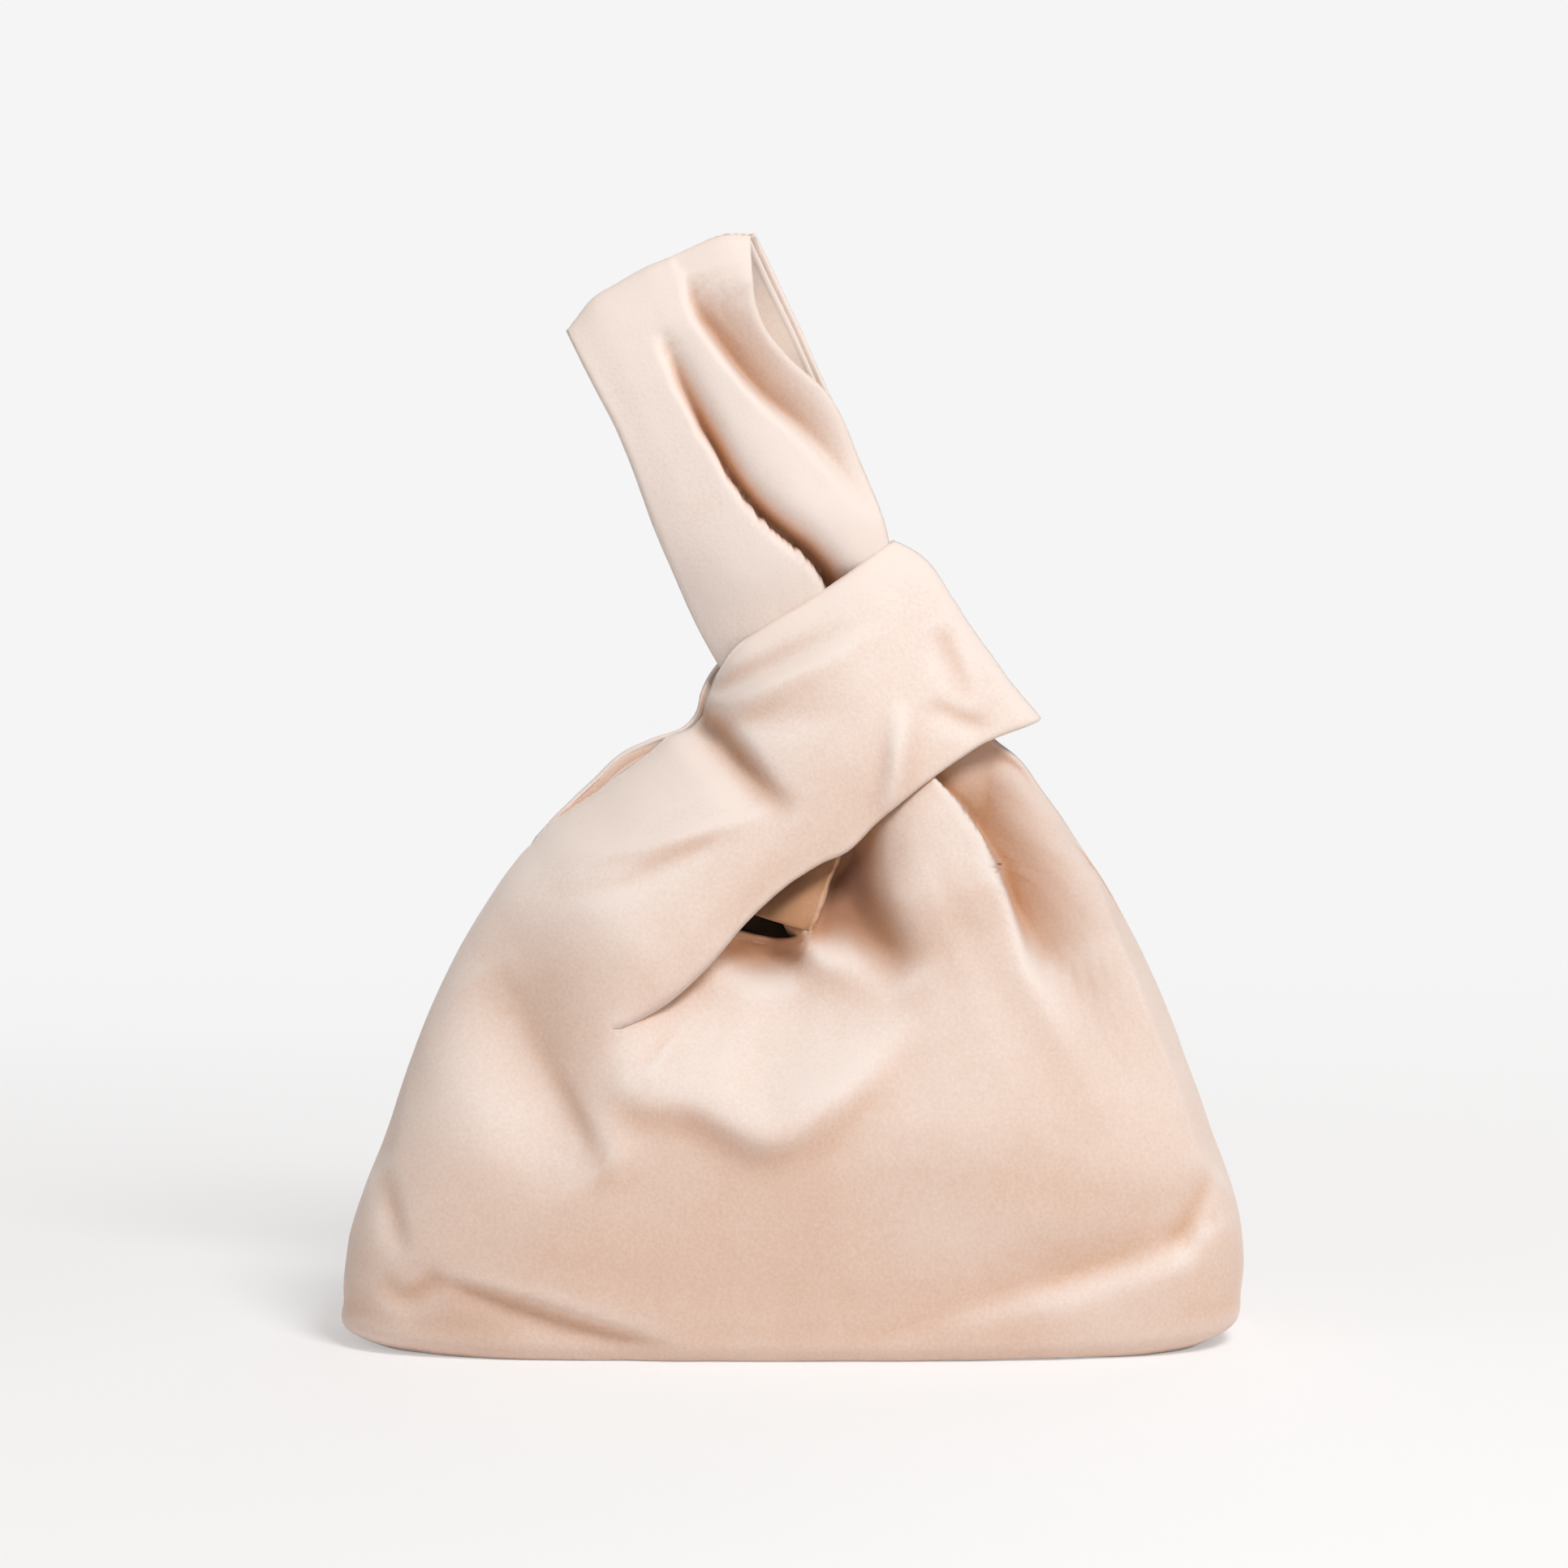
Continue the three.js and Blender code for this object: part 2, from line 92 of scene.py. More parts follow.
def placeOf(x, z, way):  # front view to the knot's own directions
    return [(x - knotCentre[0]) * axis[0] + (z - knotCentre[2]) * axis[2] for axis in way]


def frontOf(across, along, way):  # and back again
    right, up = way
    return [knotCentre[k] + across * right[k] + along * up[k] for k in (0, 2)]


def roundOff(share, power):  # from 1 in the middle, round down to 0 at the rim
    return np.maximum(0, 1 - share ** power) ** (1 / power)


def unit(directions):
    return directions / np.linalg.norm(directions, axis=1)[:, None]


def stack(x, depth, z, side):
    x, depth, z = np.broadcast_arrays(x, depth, z)
    return np.stack((x, side * depth, z), axis=-1)


# Folds: a line in the front view, and how the cloth stands beside it. The widths are those left and
# right of the line, swell is the strength along it, and the shade amount paints shade on a pleat's low
# side and along a ridge's line; a negative amount paints light there.

even = [(0, 1), (1, 1)]
fade = [(0, 0), (0.25, 1), (0.75, 1), (1, 0)]
grow = [(0, 0), (0.5, 0.7), (1, 1)]
wane = [(0, 1), (0.5, 0.7), (1, 0)]
lineSteps = 70
sunkPower = 1.3  # how squarely the low side of a pleat runs out
lapReach = 3  # widths of the lap over which the high side slips
seamHold = (0.2, 3.0)  # nearer to a seam than this the two halves stay together


def ridge(path, height, widths, swell, zones, foldShade=0):  # a negative height makes it a valley
    return {"form": "ridge", "path": path, "height": height, "widths": widths, "swell": swell,
            "zones": zones, "foldShade": foldShade, "narrow": 1}


# A pleat drops on its right, over its ramp. The lap is how far the high side slips over the low one.
# Narrow draws in the painted shade, spread varies the right width along the line, and soften the ramp.
def pleat(path, height, widths, swell, zones, drop, ramp, lap, foldShade=0, narrow=1, spread=even,
          soften=even):
    return {"form": "pleat", "path": path, "height": height, "widths": widths, "swell": swell,
            "zones": zones, "drop": drop, "ramp": ramp, "lap": lap, "foldShade": foldShade, "narrow": narrow,
            "spread": spread, "soften": soften}


def foldLine(path):
    path = np.array(path, float)
    reach = np.concatenate(((0,), np.cumsum(np.hypot(*np.diff(path, axis=0).T))))
    along = np.linspace(0, reach[-1], lineSteps)
    line = np.stack([curveAt(list(zip(reach, path[:, k])), along) for k in (0, 1)], axis=1)
    return line, along / reach[-1]


def foldMove(fold, x, z):  # rise off the cloth, slip across it, and the share that takes painted shade
    line, share = foldLine(fold["path"])
    tangent = unit(np.gradient(line, axis=0))
    away = np.hypot(x[:, None] - line[:, 0], z[:, None] - line[:, 1])
    near = np.argmin(away, axis=1)
    distance = away[np.arange(len(x)), near]
    along, over = tangent[near].T
    left = along * (z - line[near, 1]) - over * (x - line[near, 0]) > 0
    strength = curveAt(fold["swell"], share[near])
    leftWidth, rightWidth = fold["widths"]
    if fold["form"] == "ridge":
        bulge = strength * np.exp(-(distance / np.where(left, leftWidth, rightWidth)) ** 2)
        return bulge * fold["height"], 0, 0, bulge
    signed = np.where(left, distance, -distance)
    rightWidth = rightWidth * curveAt(fold["spread"], share[near])
    ramp = fold["ramp"] * curveAt(fold["soften"], share[near])
    crest = smooth(-ramp, 0, signed)
    high = fold["height"] * np.exp(-np.maximum(signed, 0) / leftWidth)
    sunk = np.exp(-(np.maximum(-signed - ramp, 0) / rightWidth) ** sunkPower)
    height = strength * (high * crest - fold["drop"] * sunk * (1 - crest))
    slip = strength * fold["lap"] * crest * np.exp(-np.maximum(signed, 0) / (lapReach * fold["lap"]))
    return height, slip * over, -slip * along, strength * sunk * (1 - crest)


def unevenness(points, settings):  # slight waves that no cloth is free of
    waves = np.zeros(len(points))
    for size, height in settings:
        waves += height * np.array([noise.noise(Vector(p / size)) for p in points])
    return waves


def drape(along, across, settings):  # long shallow pulls, much longer than wide
    pulls = np.zeros(len(along))
    for length, width, height in settings:
        places = zip(along / length, across / width)
        pulls += height * np.array([noise.noise(Vector((u, v, length))) for u, v in places])
    return pulls


# Meshes: grids of cloth, welded, folded and given their thickness

def choose(*pieces):
    bpy.ops.object.select_all(action="DESELECT")
    for piece in reversed(pieces):
        piece.select_set(True)
        bpy.context.view_layer.objects.active = piece


def addObject(name, data):
    made = bpy.data.objects.new(name, data)
    bpy.context.scene.collection.objects.link(made)
    return made


def inEditMode(operation, **settings):
    bpy.ops.object.mode_set(mode="EDIT")
    bpy.ops.mesh.select_all(action="SELECT")
    operation(**settings)
    bpy.ops.object.mode_set(mode="OBJECT")


def clothGrid(name, points, zone):  # points in rows, the outside seen with rows going up
    rows, columns = points.shape[:2]
    choose()
    bpy.ops.mesh.primitive_grid_add(x_subdivisions=columns - 1, y_subdivisions=rows - 1, size=1)
    piece = bpy.context.object
    piece.name = piece.data.name = name
    piece.data.vertices.foreach_set("co", (points.reshape(-1, 3) * mm).ravel())
    mark(piece, "zone", "INT", np.full(rows * columns, zone, np.int32))
    return piece


def weld(pieces):
    choose(*pieces)
    bpy.ops.object.join()
    inEditMode(bpy.ops.mesh.remove_doubles, threshold=weldGap * mm)
    pieces[0].data.update()
    return pieces[0]


def read(source, key, width, kind=np.float32):
    values = np.zeros(len(source) * width, kind)
    source.foreach_get(key, values)
    return values.reshape(-1, width)


def readMark(piece, name, kind=np.float32):
    return read(piece.data.attributes[name].data, "value", 1, kind)[:, 0]


def mark(piece, name, kind, values):
    marks = piece.data.attributes.new(name, kind, "POINT")
    marks.data.foreach_set("value", values)


def readPoints(piece):
    return read(piece.data.vertices, "co", 3).astype(float) / mm


def writePoints(piece, points):
    piece.data.vertices.foreach_set("co", (points * mm).astype(np.float32).ravel())
    piece.data.update()


def readNormals(piece):
    return read(piece.data.vertex_normals, "vector", 3).astype(float)


def readZones(piece):
    return readMark(piece, "zone", np.int32)


def averaged(piece, points, rounds):  # each point moves to the mean of its neighbours
    ends = read(piece.data.edges, "vertices", 2, np.int32)
    count = np.bincount(ends.ravel(), minlength=len(points))[:, None]
    for _ in range(rounds):
        total = np.zeros_like(points)
        np.add.at(total, ends[:, 0], points[ends[:, 1]])
        np.add.at(total, ends[:, 1], points[ends[:, 0]])
        points = (points + total / count) / 2
    return points


shadingPaint = {  # painted light and shade: what makes the cloth's tone warmer or paler
    # painted shade in hollows, from the cloth's distance below its averaged surface
    "hollow": 0.2, "hollowDepth": 0.35, "rounds": 8,
    "edge": 0.25,  # painted highlight, paler along free edges
    "upward": 0.68,  # painted light, paler where the cloth faces up
    "high": 0.17,  # painted light, paler towards the top
    "heights": (60, 210),
    "turned": 0.9,  # painted shade on the root's turned margin under the short loop, and where the neckline runs into it
    # painted shade at the neckline's end fades out over this many millimetres; the next weight is for
    # the folds' painted shade
    "lipEndShade": 7, "paintedFoldShade": 0.4,
    "occlusionShade": 1.2,  # painted shade where other cloth stands close in front
    "reach": 34, "rays": 18,
    "clear": 0.8,  # rays start this far off the cloth
    "upright": 0.8,
    "tiny": 1e-9,
    "evened": 2,  # rounds of averaging in the end
}


def occlusionShade(piece, points, normals):  # how much cloth stands close in front of each point, for painted shade
    reach, rays = shadingPaint["reach"], shadingPaint["rays"]
    faces = [list(face.vertices) for face in piece.data.polygons]
    tree = BVHTree.FromPolygons(points.tolist(), faces)
    steps = np.arange(rays) + 0.5
    height = np.sqrt(1 - steps / rays)
    turn = steps * math.pi * (3 - math.sqrt(5))
    spread = np.sqrt(1 - height ** 2)
    fan = np.stack((spread * np.cos(turn), spread * np.sin(turn), height), axis=1)
    lying = np.abs(normals[:, 2:]) < shadingPaint["upright"]
    first = np.cross(np.where(lying, (0.0, 0.0, 1.0), (1.0, 0.0, 0.0)), normals)
    first /= np.linalg.norm(first, axis=1)[:, None] + shadingPaint["tiny"]
    second = np.cross(normals, first)
    hidden = np.zeros(len(points))
    for k, point in enumerate(points):
        start = Vector(point + normals[k] * shadingPaint["clear"])
        for ray in fan @ np.stack((first[k], second[k], normals[k])):
            distance = tree.ray_cast(start, Vector(ray), reach)[3]
            if distance is not None:
                hidden[k] += 1 - distance / reach
    return hidden / rays


def edgeMarks(piece, count):  # 1 along the cloth's free edges
    uses = {}
    for face in piece.data.polygons:
        for key in face.edge_keys:
            uses[key] = uses.get(key, 0) + 1
    marks = np.zeros(count)
    for key, number in uses.items():
        if number == 1:
            marks[list(key)] = 1
    return marks


# paints light and shade into the cloth's tone: shade in hollows, folds, the turned margin and under
# nearby cloth, light on free edges, on upward faces and towards the top
def markTone(piece, paler=0):
    points, normals, zones = readPoints(piece), readNormals(piece), readZones(piece)
    sunk = ((averaged(piece, points, shadingPaint["rounds"]) - points) * normals).sum(axis=1)
    paintedShading = shadingPaint["hollow"] * np.clip(sunk / shadingPaint["hollowDepth"], -1, 1)
    paintedShading -= shadingPaint["edge"] * edgeMarks(piece, len(points))
    paintedShading -= shadingPaint["upward"] * np.maximum(normals[:, 2], 0)
    paintedShading -= shadingPaint["high"] * smooth(*shadingPaint["heights"], points[:, 2])
    lipEndShade = (zones == zoneLip) * (1 - smooth(0, shadingPaint["lipEndShade"], points[:, 0]))
    paintedShading += shadingPaint["turned"] * ((zones == zoneTurn) + lipEndShade) - paler
    if "paintedFoldShade" in piece.data.attributes:
        paintedShading += shadingPaint["paintedFoldShade"] * readMark(piece, "paintedFoldShade")
    paintedShading += shadingPaint["occlusionShade"] * occlusionShade(piece, points, normals)
    paintedShading = averaged(piece, paintedShading[:, None], shadingPaint["evened"])[:, 0]
    mark(piece, "paintedShading", "FLOAT", paintedShading.astype(np.float32))


def applyFolds(piece, folds, waves, pulls, view, way, room):  # room is kept free in the middle
    points = readPoints(piece)
    zones = readZones(piece)
    x, z = view(points)
    ripple = unevenness(points, waves) + pulls(x, z)
    height, slipX, slipZ, paintedFoldShade = np.zeros((4, len(x)))
    for fold in folds:
        chosen = np.isin(zones, fold["zones"])
        rise, moveX, moveZ, sunk = foldMove(fold, x[chosen], z[chosen])
        height[chosen] += rise
        slipX[chosen] += moveX
        slipZ[chosen] += moveZ
        # painted shade on each fold's low side, painted light where the amount is negative
        paintedFoldShade[chosen] += fold["foldShade"] * sunk ** fold["narrow"]
    mark(piece, "paintedFoldShade", "FLOAT", paintedFoldShade.astype(np.float32))
    depth = np.abs(points[:, 1])
    held = smooth(*seamHold, depth)
    rise = np.maximum(height * held, -np.maximum(depth - room(x, z), 0))
    rise *= np.sign(points[:, 1])
    sway = readNormals(piece) * ripple[:, None]
    sway[:, 1] *= held
    points += sway
    points += (slipX * held)[:, None] * way[0] + (slipZ * held)[:, None] * way[1]
    points[:, 1] += rise
    writePoints(piece, points)


def settle(piece):  # a fold's line loses its finest teeth
    points = readPoints(piece)
    free = edgeMarks(piece, len(points)) == 0
    points[free] = averaged(piece, points, 1)[free]
    writePoints(piece, points)


def thicken(piece, thickness):
    choose(piece)
    wall = piece.modifiers.new("wall", "SOLIDIFY")
    wall.thickness = thickness * mm
    wall.offset = -1
    bpy.ops.object.modifier_apply(modifier="wall")
    bpy.ops.object.shade_smooth()


def dress(piece, material, slot, body=None):
    piece.data.materials.clear()
    piece.data.materials.append(material)
    if body:
        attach(piece, body)


def makeUp(piece, kind, body=None, paler=0):
    thickness, material, slot = kind
    markTone(piece, paler)
    thicken(piece, thickness)
    dress(piece, material, slot, body)


# Materials

class Link:  # a socket that takes part in expressions
    def __init__(self, tree, socket=None):
        self.tree = tree
        self.socket = socket

    def node(self, kind, settings=None, inputs=None, output=0):
        made = self.tree.nodes.new(kind)
        for name, value in (settings or {}).items():
            setattr(made, name, value)
        self.fill(made, inputs or {})
        return Link(self.tree, made.outputs[output])

    def fill(self, node, inputs):
        for name, value in inputs.items():
            if isinstance(value, Link):
                self.tree.links.new(value.socket, node.inputs[name])
            else:
                node.inputs[name].default_value = value

    def maths(self, operation, first, second):
        return self.node("ShaderNodeMath", {"operation": operation}, {0: first, 1: second})

    def mix(self, share, first, second):
        return self.node("ShaderNodeMix", {"data_type": "RGBA"}, {0: share, 6: first, 7: second}, 2)

    def __add__(self, other):
        return self.maths("ADD", self, other)

    __radd__ = __add__

    def __mul__(self, other):
        return self.maths("MULTIPLY", self, other)

    __rmul__ = __mul__

    def __sub__(self, other):
        return self.maths("SUBTRACT", self, other)

    def __rsub__(self, other):
        return self.maths("SUBTRACT", other, self)

    def kept(self):  # held between 0 and 1
        return self.node("ShaderNodeClamp", {}, {"Value": self})


def linear(red, green, blue):  # a colour as it shows, 0 to 255, as light
    parts = [part / 255 for part in (red, green, blue)]
    return tuple(p / 12.92 if p <= 0.04045 else ((p + 0.055) / 1.055) ** 2.4 for p in parts) + (1,)


def newMaterial(name):
    material = bpy.data.materials.new(name)
    material.use_nodes = True
    shader = material.node_tree.nodes["Principled BSDF"]
    return material, shader, Link(material.node_tree)


anyCloth = {  # what all the cloths and threads share
    "middle": 0.48,  # tone of plain cloth, between ridge and hollow
    "patchShare": 0.2, "grainShare": 0.4, "roughShare": 0.1, "grainBump": 0.6, "napBump": 0.4,
    "bumpHeight": 0.0004, "sheenRough": 0.45, "sheenTint": (1.0, 0.96, 0.93, 1),
    "detail": {"grain": 3.0, "nap": 4.0, "patch": 2.0},
}


def clothMaterial(name, look):
    material, shader, link = newMaterial(name)
    places = link.node("ShaderNodeTexCoord", output=3)
    grain, nap, patch = [
        link.node("ShaderNodeTexNoise", {}, {"Vector": places, "Scale": look[size], "Detail": detail})
        for size, detail in anyCloth["detail"].items()
    ]
    # painted light and shade from the tone marks; the tone runs from the ridge colour, where light is
    # painted, to the hollow colour, where shade is painted, with random patches and grain, and the
    # folds' painted shade mixes in a darker colour
    paintedShading, paintedFoldShade = [link.node("ShaderNodeAttribute", {"attribute_name": label}, output=2)
                       for label in ("paintedShading", "paintedFoldShade")]
    tone = anyCloth["middle"] + paintedShading + (patch - 0.5) * anyCloth["patchShare"]
    tone = (tone + (grain - 0.5) * anyCloth["grainShare"]).kept()
    colour = link.mix(paintedFoldShade.kept(), link.mix(tone, look["ridge"], look["hollow"]), look["foldShadeColour"])
    rough = look["rough"] + (nap - 0.5) * anyCloth["roughShare"]
    height = grain * anyCloth["grainBump"] + nap * anyCloth["napBump"]
    relief = {"Strength": look["bump"], "Distance": anyCloth["bumpHeight"], "Height": height}
    link.fill(shader, {
        "Base Color": colour, "Roughness": rough, "Normal": link.node("ShaderNodeBump", {}, relief),
        "Specular IOR Level": look["gloss"], "Sheen Weight": look["sheen"],
        "Sheen Roughness": anyCloth["sheenRough"], "Sheen Tint": anyCloth["sheenTint"],
    })
    return material


# ridge is the paler colour where light is painted, hollow the warmer colour where shade is painted, and
# the third colour is the folds' painted shade
outerCloth = clothMaterial("blush cloth", {
    "ridge": linear(244, 229, 220), "hollow": linear(209, 156, 116), "foldShadeColour": linear(172, 128, 100),
    "rough": 0.78, "gloss": 0.22, "sheen": 0.4,
    "grain": 1000.0, "nap": 330.0, "patch": 24.0, "bump": 0.4,
})
liningCloth = clothMaterial("tan lining", {
    "ridge": linear(244, 229, 219), "hollow": linear(211, 177, 153), "foldShadeColour": linear(170, 125, 94),
    "rough": 0.85, "gloss": 0.15, "sheen": 0.1,
    "grain": 1800.0, "nap": 700.0, "patch": 18.0, "bump": 0.3,
})
seamThread = clothMaterial("seam thread", {
    "ridge": linear(236, 210, 194), "hollow": linear(205, 168, 145), "foldShadeColour": linear(190, 150, 125),
    "rough": 0.7, "gloss": 0.3, "sheen": 0.2,
    "grain": 5000.0, "nap": 2500.0, "patch": 60.0, "bump": 0.5,
})
print("materials made")


# The pouch with its two shoulder loops: one cut of cloth at the front and one at the back

zoneBody, zoneRibbon, zoneRoot, zoneTurn, zoneLip = 0, 1, 2, 3, 4
pouch = {
    "leftOutline": [(0, -122), (3, -129), (12, -131.2), (27, -130), (55, -120.8), (101, -103.6),
                    (127, -89.2), (144, -77.3), (157, -65.4), (176, -44)],
    "rightOutline": [(0, 119), (4, 127), (15, 130.8), (31, 131.2), (63, 122.1), (115, 100.6),
                     (137, 88.4), (158, 74.1), (176, 60)],
    "depth": [(0, 45), (3, 47.6), (10, 49.3), (22, 50.3), (48, 50.7), (60, 50.2), (69, 48.8), (77, 46.8),
              (90, 42.9), (105, 38.2), (118, 34.4), (130, 31), (146, 26.2), (176, 15)],
    "squareness": [(0, 3.5), (12, 3.5), (30, 3.4), (80, 2.7), (125, 2.3), (180, 2.1)],
    "rightSquareness": [(45, 0), (80, 0.7), (105, 1.7), (140, 2.2), (176, 2.2)],  # added on the right
    "slitRoot": (-51.0, 95.0), "slotCorner": (5.0, 121.5),
    "neckline": [(-51.0, 95.0), (-40, 105), (-26, 116.5), (-17, 118.8), (-10, 116), (-2, 115.6),
                 (2.6, 118), (5.0, 121.5)],
    "columns": (64, 50, 104),  # left of the slit, along the neckline, right of the slot
    "rows": (16, 16, 66),  # base, belly and wall
    "shoulderSteps": 60,
    "rightStart": (0, 45),  # where the right side's squareness sets in
    "backRise": 13.0,  # the neckline stands higher at the back
    "pinch": 0.9,  # the side seams draw the cloth in
    "pinchWidth": 1.4,
    "pinchFrom": 1.0,  # height above the floor
    "pinchColumns": 0.8,  # only the outermost ones
    "belly": 20.0,  # height where the base's round edge ends
    "bellyPower": 1.6,
    "lowRim": 20.0,  # the wall may stand off further low down
    "lowRimHeights": (20, 60),
    "tray": {"x": -8.0, "z": 105.0, "wide": 36.0, "high": 20.0, "depth": 10.5, "run": 18.0},
    "seamShare": 0.84,  # length of the base seam, as a share of the base
    "seamRise": 2.0,  # its margins stand up inside
    "seamStart": 0.4,  # half the groove along it
    "thickness": 1.3, "liningThickness": 0.9,
    "liningInset": 1.7,
    "liningMargin": 1.2,  # it ends this far inside the outer cloth's edges
    "topMargins": 3,  # margins that it ends below the upper ones
    "liningGap": 0.1, "liningDetail": 0.62,
    "cut": (0.30, 0.36),  # metres, the flat cut's width and length, and its area
    "cutArea": 0.066, "liningCut": (0.29, 0.35), "liningArea": 0.06,
    "waves": [(46.0, 0.8), (17.0, 0.3), (6.0, 0.09)],
    "pulls": [(90.0, 15.0, 0.4), (40.0, 7.0, 0.14)],
    "pullTurn": 110.0,  # pulls run out from the knot, this long for each radian
    "pullNear": (28, 60), "pullFar": (110, 180), "pullFade": 0.6,
    "room": 3.0,  # folds stay this far from the middle
    "knotRoom": 8.0,  # and further where the long loop is drawn through
    "knotAlong": (-58, -36), "knotAcross": (14, 32),
    "edgeRoll": 0.9,  # the outermost cloth rolls in by this much
    "edgeWidth": 1.3,
    "rimRound": 120.0,  # how fast the cloth may stand off beside a seam
    "evenFirst": 0.04,  # a loop's columns are evened out from its first row
    "evenReach": 0.4,
    "insetReach": 0.1,  # share of a loop over which a margin sets in
}
lip = {  # the neckline edge rolls into the bag
    "radius": 2.6, "angle": 130, "rows": 12, "tail": 7.0, "tailRows": 6,
    "cornerReach": 8,  # at the slot's corner it runs into the root's margin
    "cornerWay": (-0.6, 0.8, 0.1),
}
turnIn = {  # the root's left margin, turned in behind the short loop
    "rows": 42,
    "near": (0, 0.35, 0.8, 1.4),  # how far each column goes
    "far": (2.2, 18), "columns": 11, "narrowing": 0.12, "drop": 1.1, "dropWidth": 0.7,
    "slope": 0.62, "bend": 0.012, "rise": 0.2, "riseMore": 0.1,
}
ribbon = {  # the short loop, along and across its own line
    "lower": [(-114, -33.5), (-96, -37), (-79, -36), (-61, -32.4), (-42, -30.8), (-34, -31.6),
              (-28, -33), (-14, -31.4), (5, -30.8), (25, -32.3), (40, -36.9)],
    "upper": [(-102, 21.3), (-88, 24), (-76, 25.4), (-64, 26.6), (-54, 24.8), (-44, 22.4), (-39, 24),
              (-35, 27.6), (-25, 32), (-8, 32.2), (10, 31), (36, 30.4)],
    "end": [(-37, 40.2), (-22, 39.4), (-7, 39.6), (6, 40.2), (23, 39.8), (30.5, 36.2)],
    "frontGap": [(-94, 0), (-76, 3.4), (-64, 4.6), (-54, 2.4), (-48, 0.4), (-43, 1.6), (-36, 2.6),
                 (-26, 1.4), (-16, 0)],  # the front half's edge is lower here
    "backGap": [(-36, 0), (-24, 0.6), (-10, 2.4), (8, 2.8), (30, 0)],  # and the back half's
    "lowerDepth": [(-114, 41), (-98, 38.5), (-75, 34), (-45, 29), (-20, 26), (0, 23.5), (17, 18),
                   (30, 14), (40, 12)],
    "upperDepth": [(-104, 0.15), (-92, 0.15), (-84, 1.0), (-74, 2.0), (-58, 2.0), (-44, 1.6), (-36, 3.0),
                   (-20, 8), (0, 10.5), (40, 9.5)],
    "crown": [(-110, 6), (-80, 5.5), (-40, 4.5), (0, 4), (40, 3)],
    "backSwell": [(-50, 0), (-30, 2.6), (-8, 5), (20, 5), (40, 3)],  # the back half stands further off
    "start": (-122, -86),  # the body's form runs over into the loop's own
    "power": 1.5,
    "turn": 36.0,  # length of the round turn at its end
    "turnPower": 2.3, "rows": 92, "easing": 1.35, "edgeReach": 0.12,
    "backMargin": 0.88,  # share of the back half's width below its standing margin
}
root = {  # the long loop's root, across and along the handle
    "left": [(-92, -55.2), (-74, -47), (-54, -38.5), (-48.5, -32.7), (-42.8, -27), (-40, -23.4),
             (-32, -22), (-8, -22)],
    "right": [(-74.6, 43.8), (-49, 39.6), (-34.5, 35.9), (-29.5, 33), (-20, 29), (-8, 25)],
    "leftDepth": [(-80, 29), (-54, 27), (-42, 22.5), (-30, 17), (-18, 11), (-8, 7.5)],
    "rightDepth": [(-76, 0.15), (-8, 0.15)],
    "crown": [(-80, 6), (-60, 6), (-45, 5), (-30, 3.5), (-18, 1.5), (-8, 0.5)],
    "start": (-92, -56),  # the body's form runs over into the root's own
    "beside": (0, 24),
    "above": (-54, -43),  # over the slot's corner the root has a free edge
    "squareness": 3.4,  # the cloth stays forward, and turns at its right rim
    "rows": 64, "top": -8.0,
}


def outlines(z):
    return curveAt(pouch["leftOutline"], z), curveAt(pouch["rightOutline"], z)


def columnAt(x, z):
    left, right = outlines(z)
    share = np.clip((x - (left + right) / 2) / ((right - left) / 2), -1, 1)
    return np.arcsin(share) / (math.pi / 2)


def columnX(s, z):
    left, right = outlines(z)
    return (left + right) / 2 + (right - left) / 2 * np.sin(math.pi / 2 * s)


def bodyDepth(x, z):
    share = np.abs(np.sin(math.pi / 2 * columnAt(x, z)))
    added = curveAt(pouch["rightSquareness"], z) * smooth(*pouch["rightStart"], x)
    fullness = roundOff(share, curveAt(pouch["squareness"], z) + added)
    tray, start = pouch["tray"], pouch["slitRoot"][0]
    dip = np.exp(-((x - tray["x"]) / tray["wide"]) ** 2 - ((z - tray["z"]) / tray["high"]) ** 2)
    dip *= tray["depth"] * smooth(start, start + tray["run"], x)
    return seamGap + (curveAt(pouch["depth"], z) - dip) * fullness


def ribbonEdges(along, side, margin=0):
    gap = curveAt(ribbon["frontGap"] if side == front else ribbon["backGap"], along)
    high = curveAt(ribbon["upper"], along) - gap - pouch["topMargins"] * margin
    return curveAt(ribbon["lower"], along) + margin, high


def ribbonDepth(along, across, side):
    low, high = ribbonEdges(along, side)
    share = np.clip((across - low) / (high - low), 0, 1)
    if side == back:
        share = np.minimum(share / ribbon["backMargin"], 1)
    lowDepth, highDepth = curveAt(ribbon["lowerDepth"], along), curveAt(ribbon["upperDepth"], along)
    depth = highDepth + (lowDepth - highDepth) * roundOff(share, ribbon["power"])
    depth = depth + curveAt(ribbon["crown"], along) * 4 * share * (1 - share)
    if side == back:
        depth = depth + curveAt(ribbon["backSwell"], along) * np.sqrt(share)
    end = curveAt(ribbon["end"], across)
    turned = np.clip((along - end + ribbon["turn"]) / ribbon["turn"], 0, 1)
    return seamGap + (depth - seamGap) * roundOff(turned, ribbon["turnPower"])


def ribbonField(x, z, side):
    along, across = placeOf(x, z, ribbonWay)
    own = smooth(*ribbon["start"], along)
    return bodyDepth(x, z) * (1 - own) + ribbonDepth(along, across, side) * own


def edgeTurn(share, width):
    inside = np.minimum(share, 1 - share) * width
    return pouch["edgeRoll"] * np.clip(1 - inside / pouch["edgeWidth"], 0, 1) ** 2


def rimDepth(inside):  # the most that the cloth may stand off beside a seam
    return np.sqrt(pouch["rimRound"] * np.maximum(inside, 0))


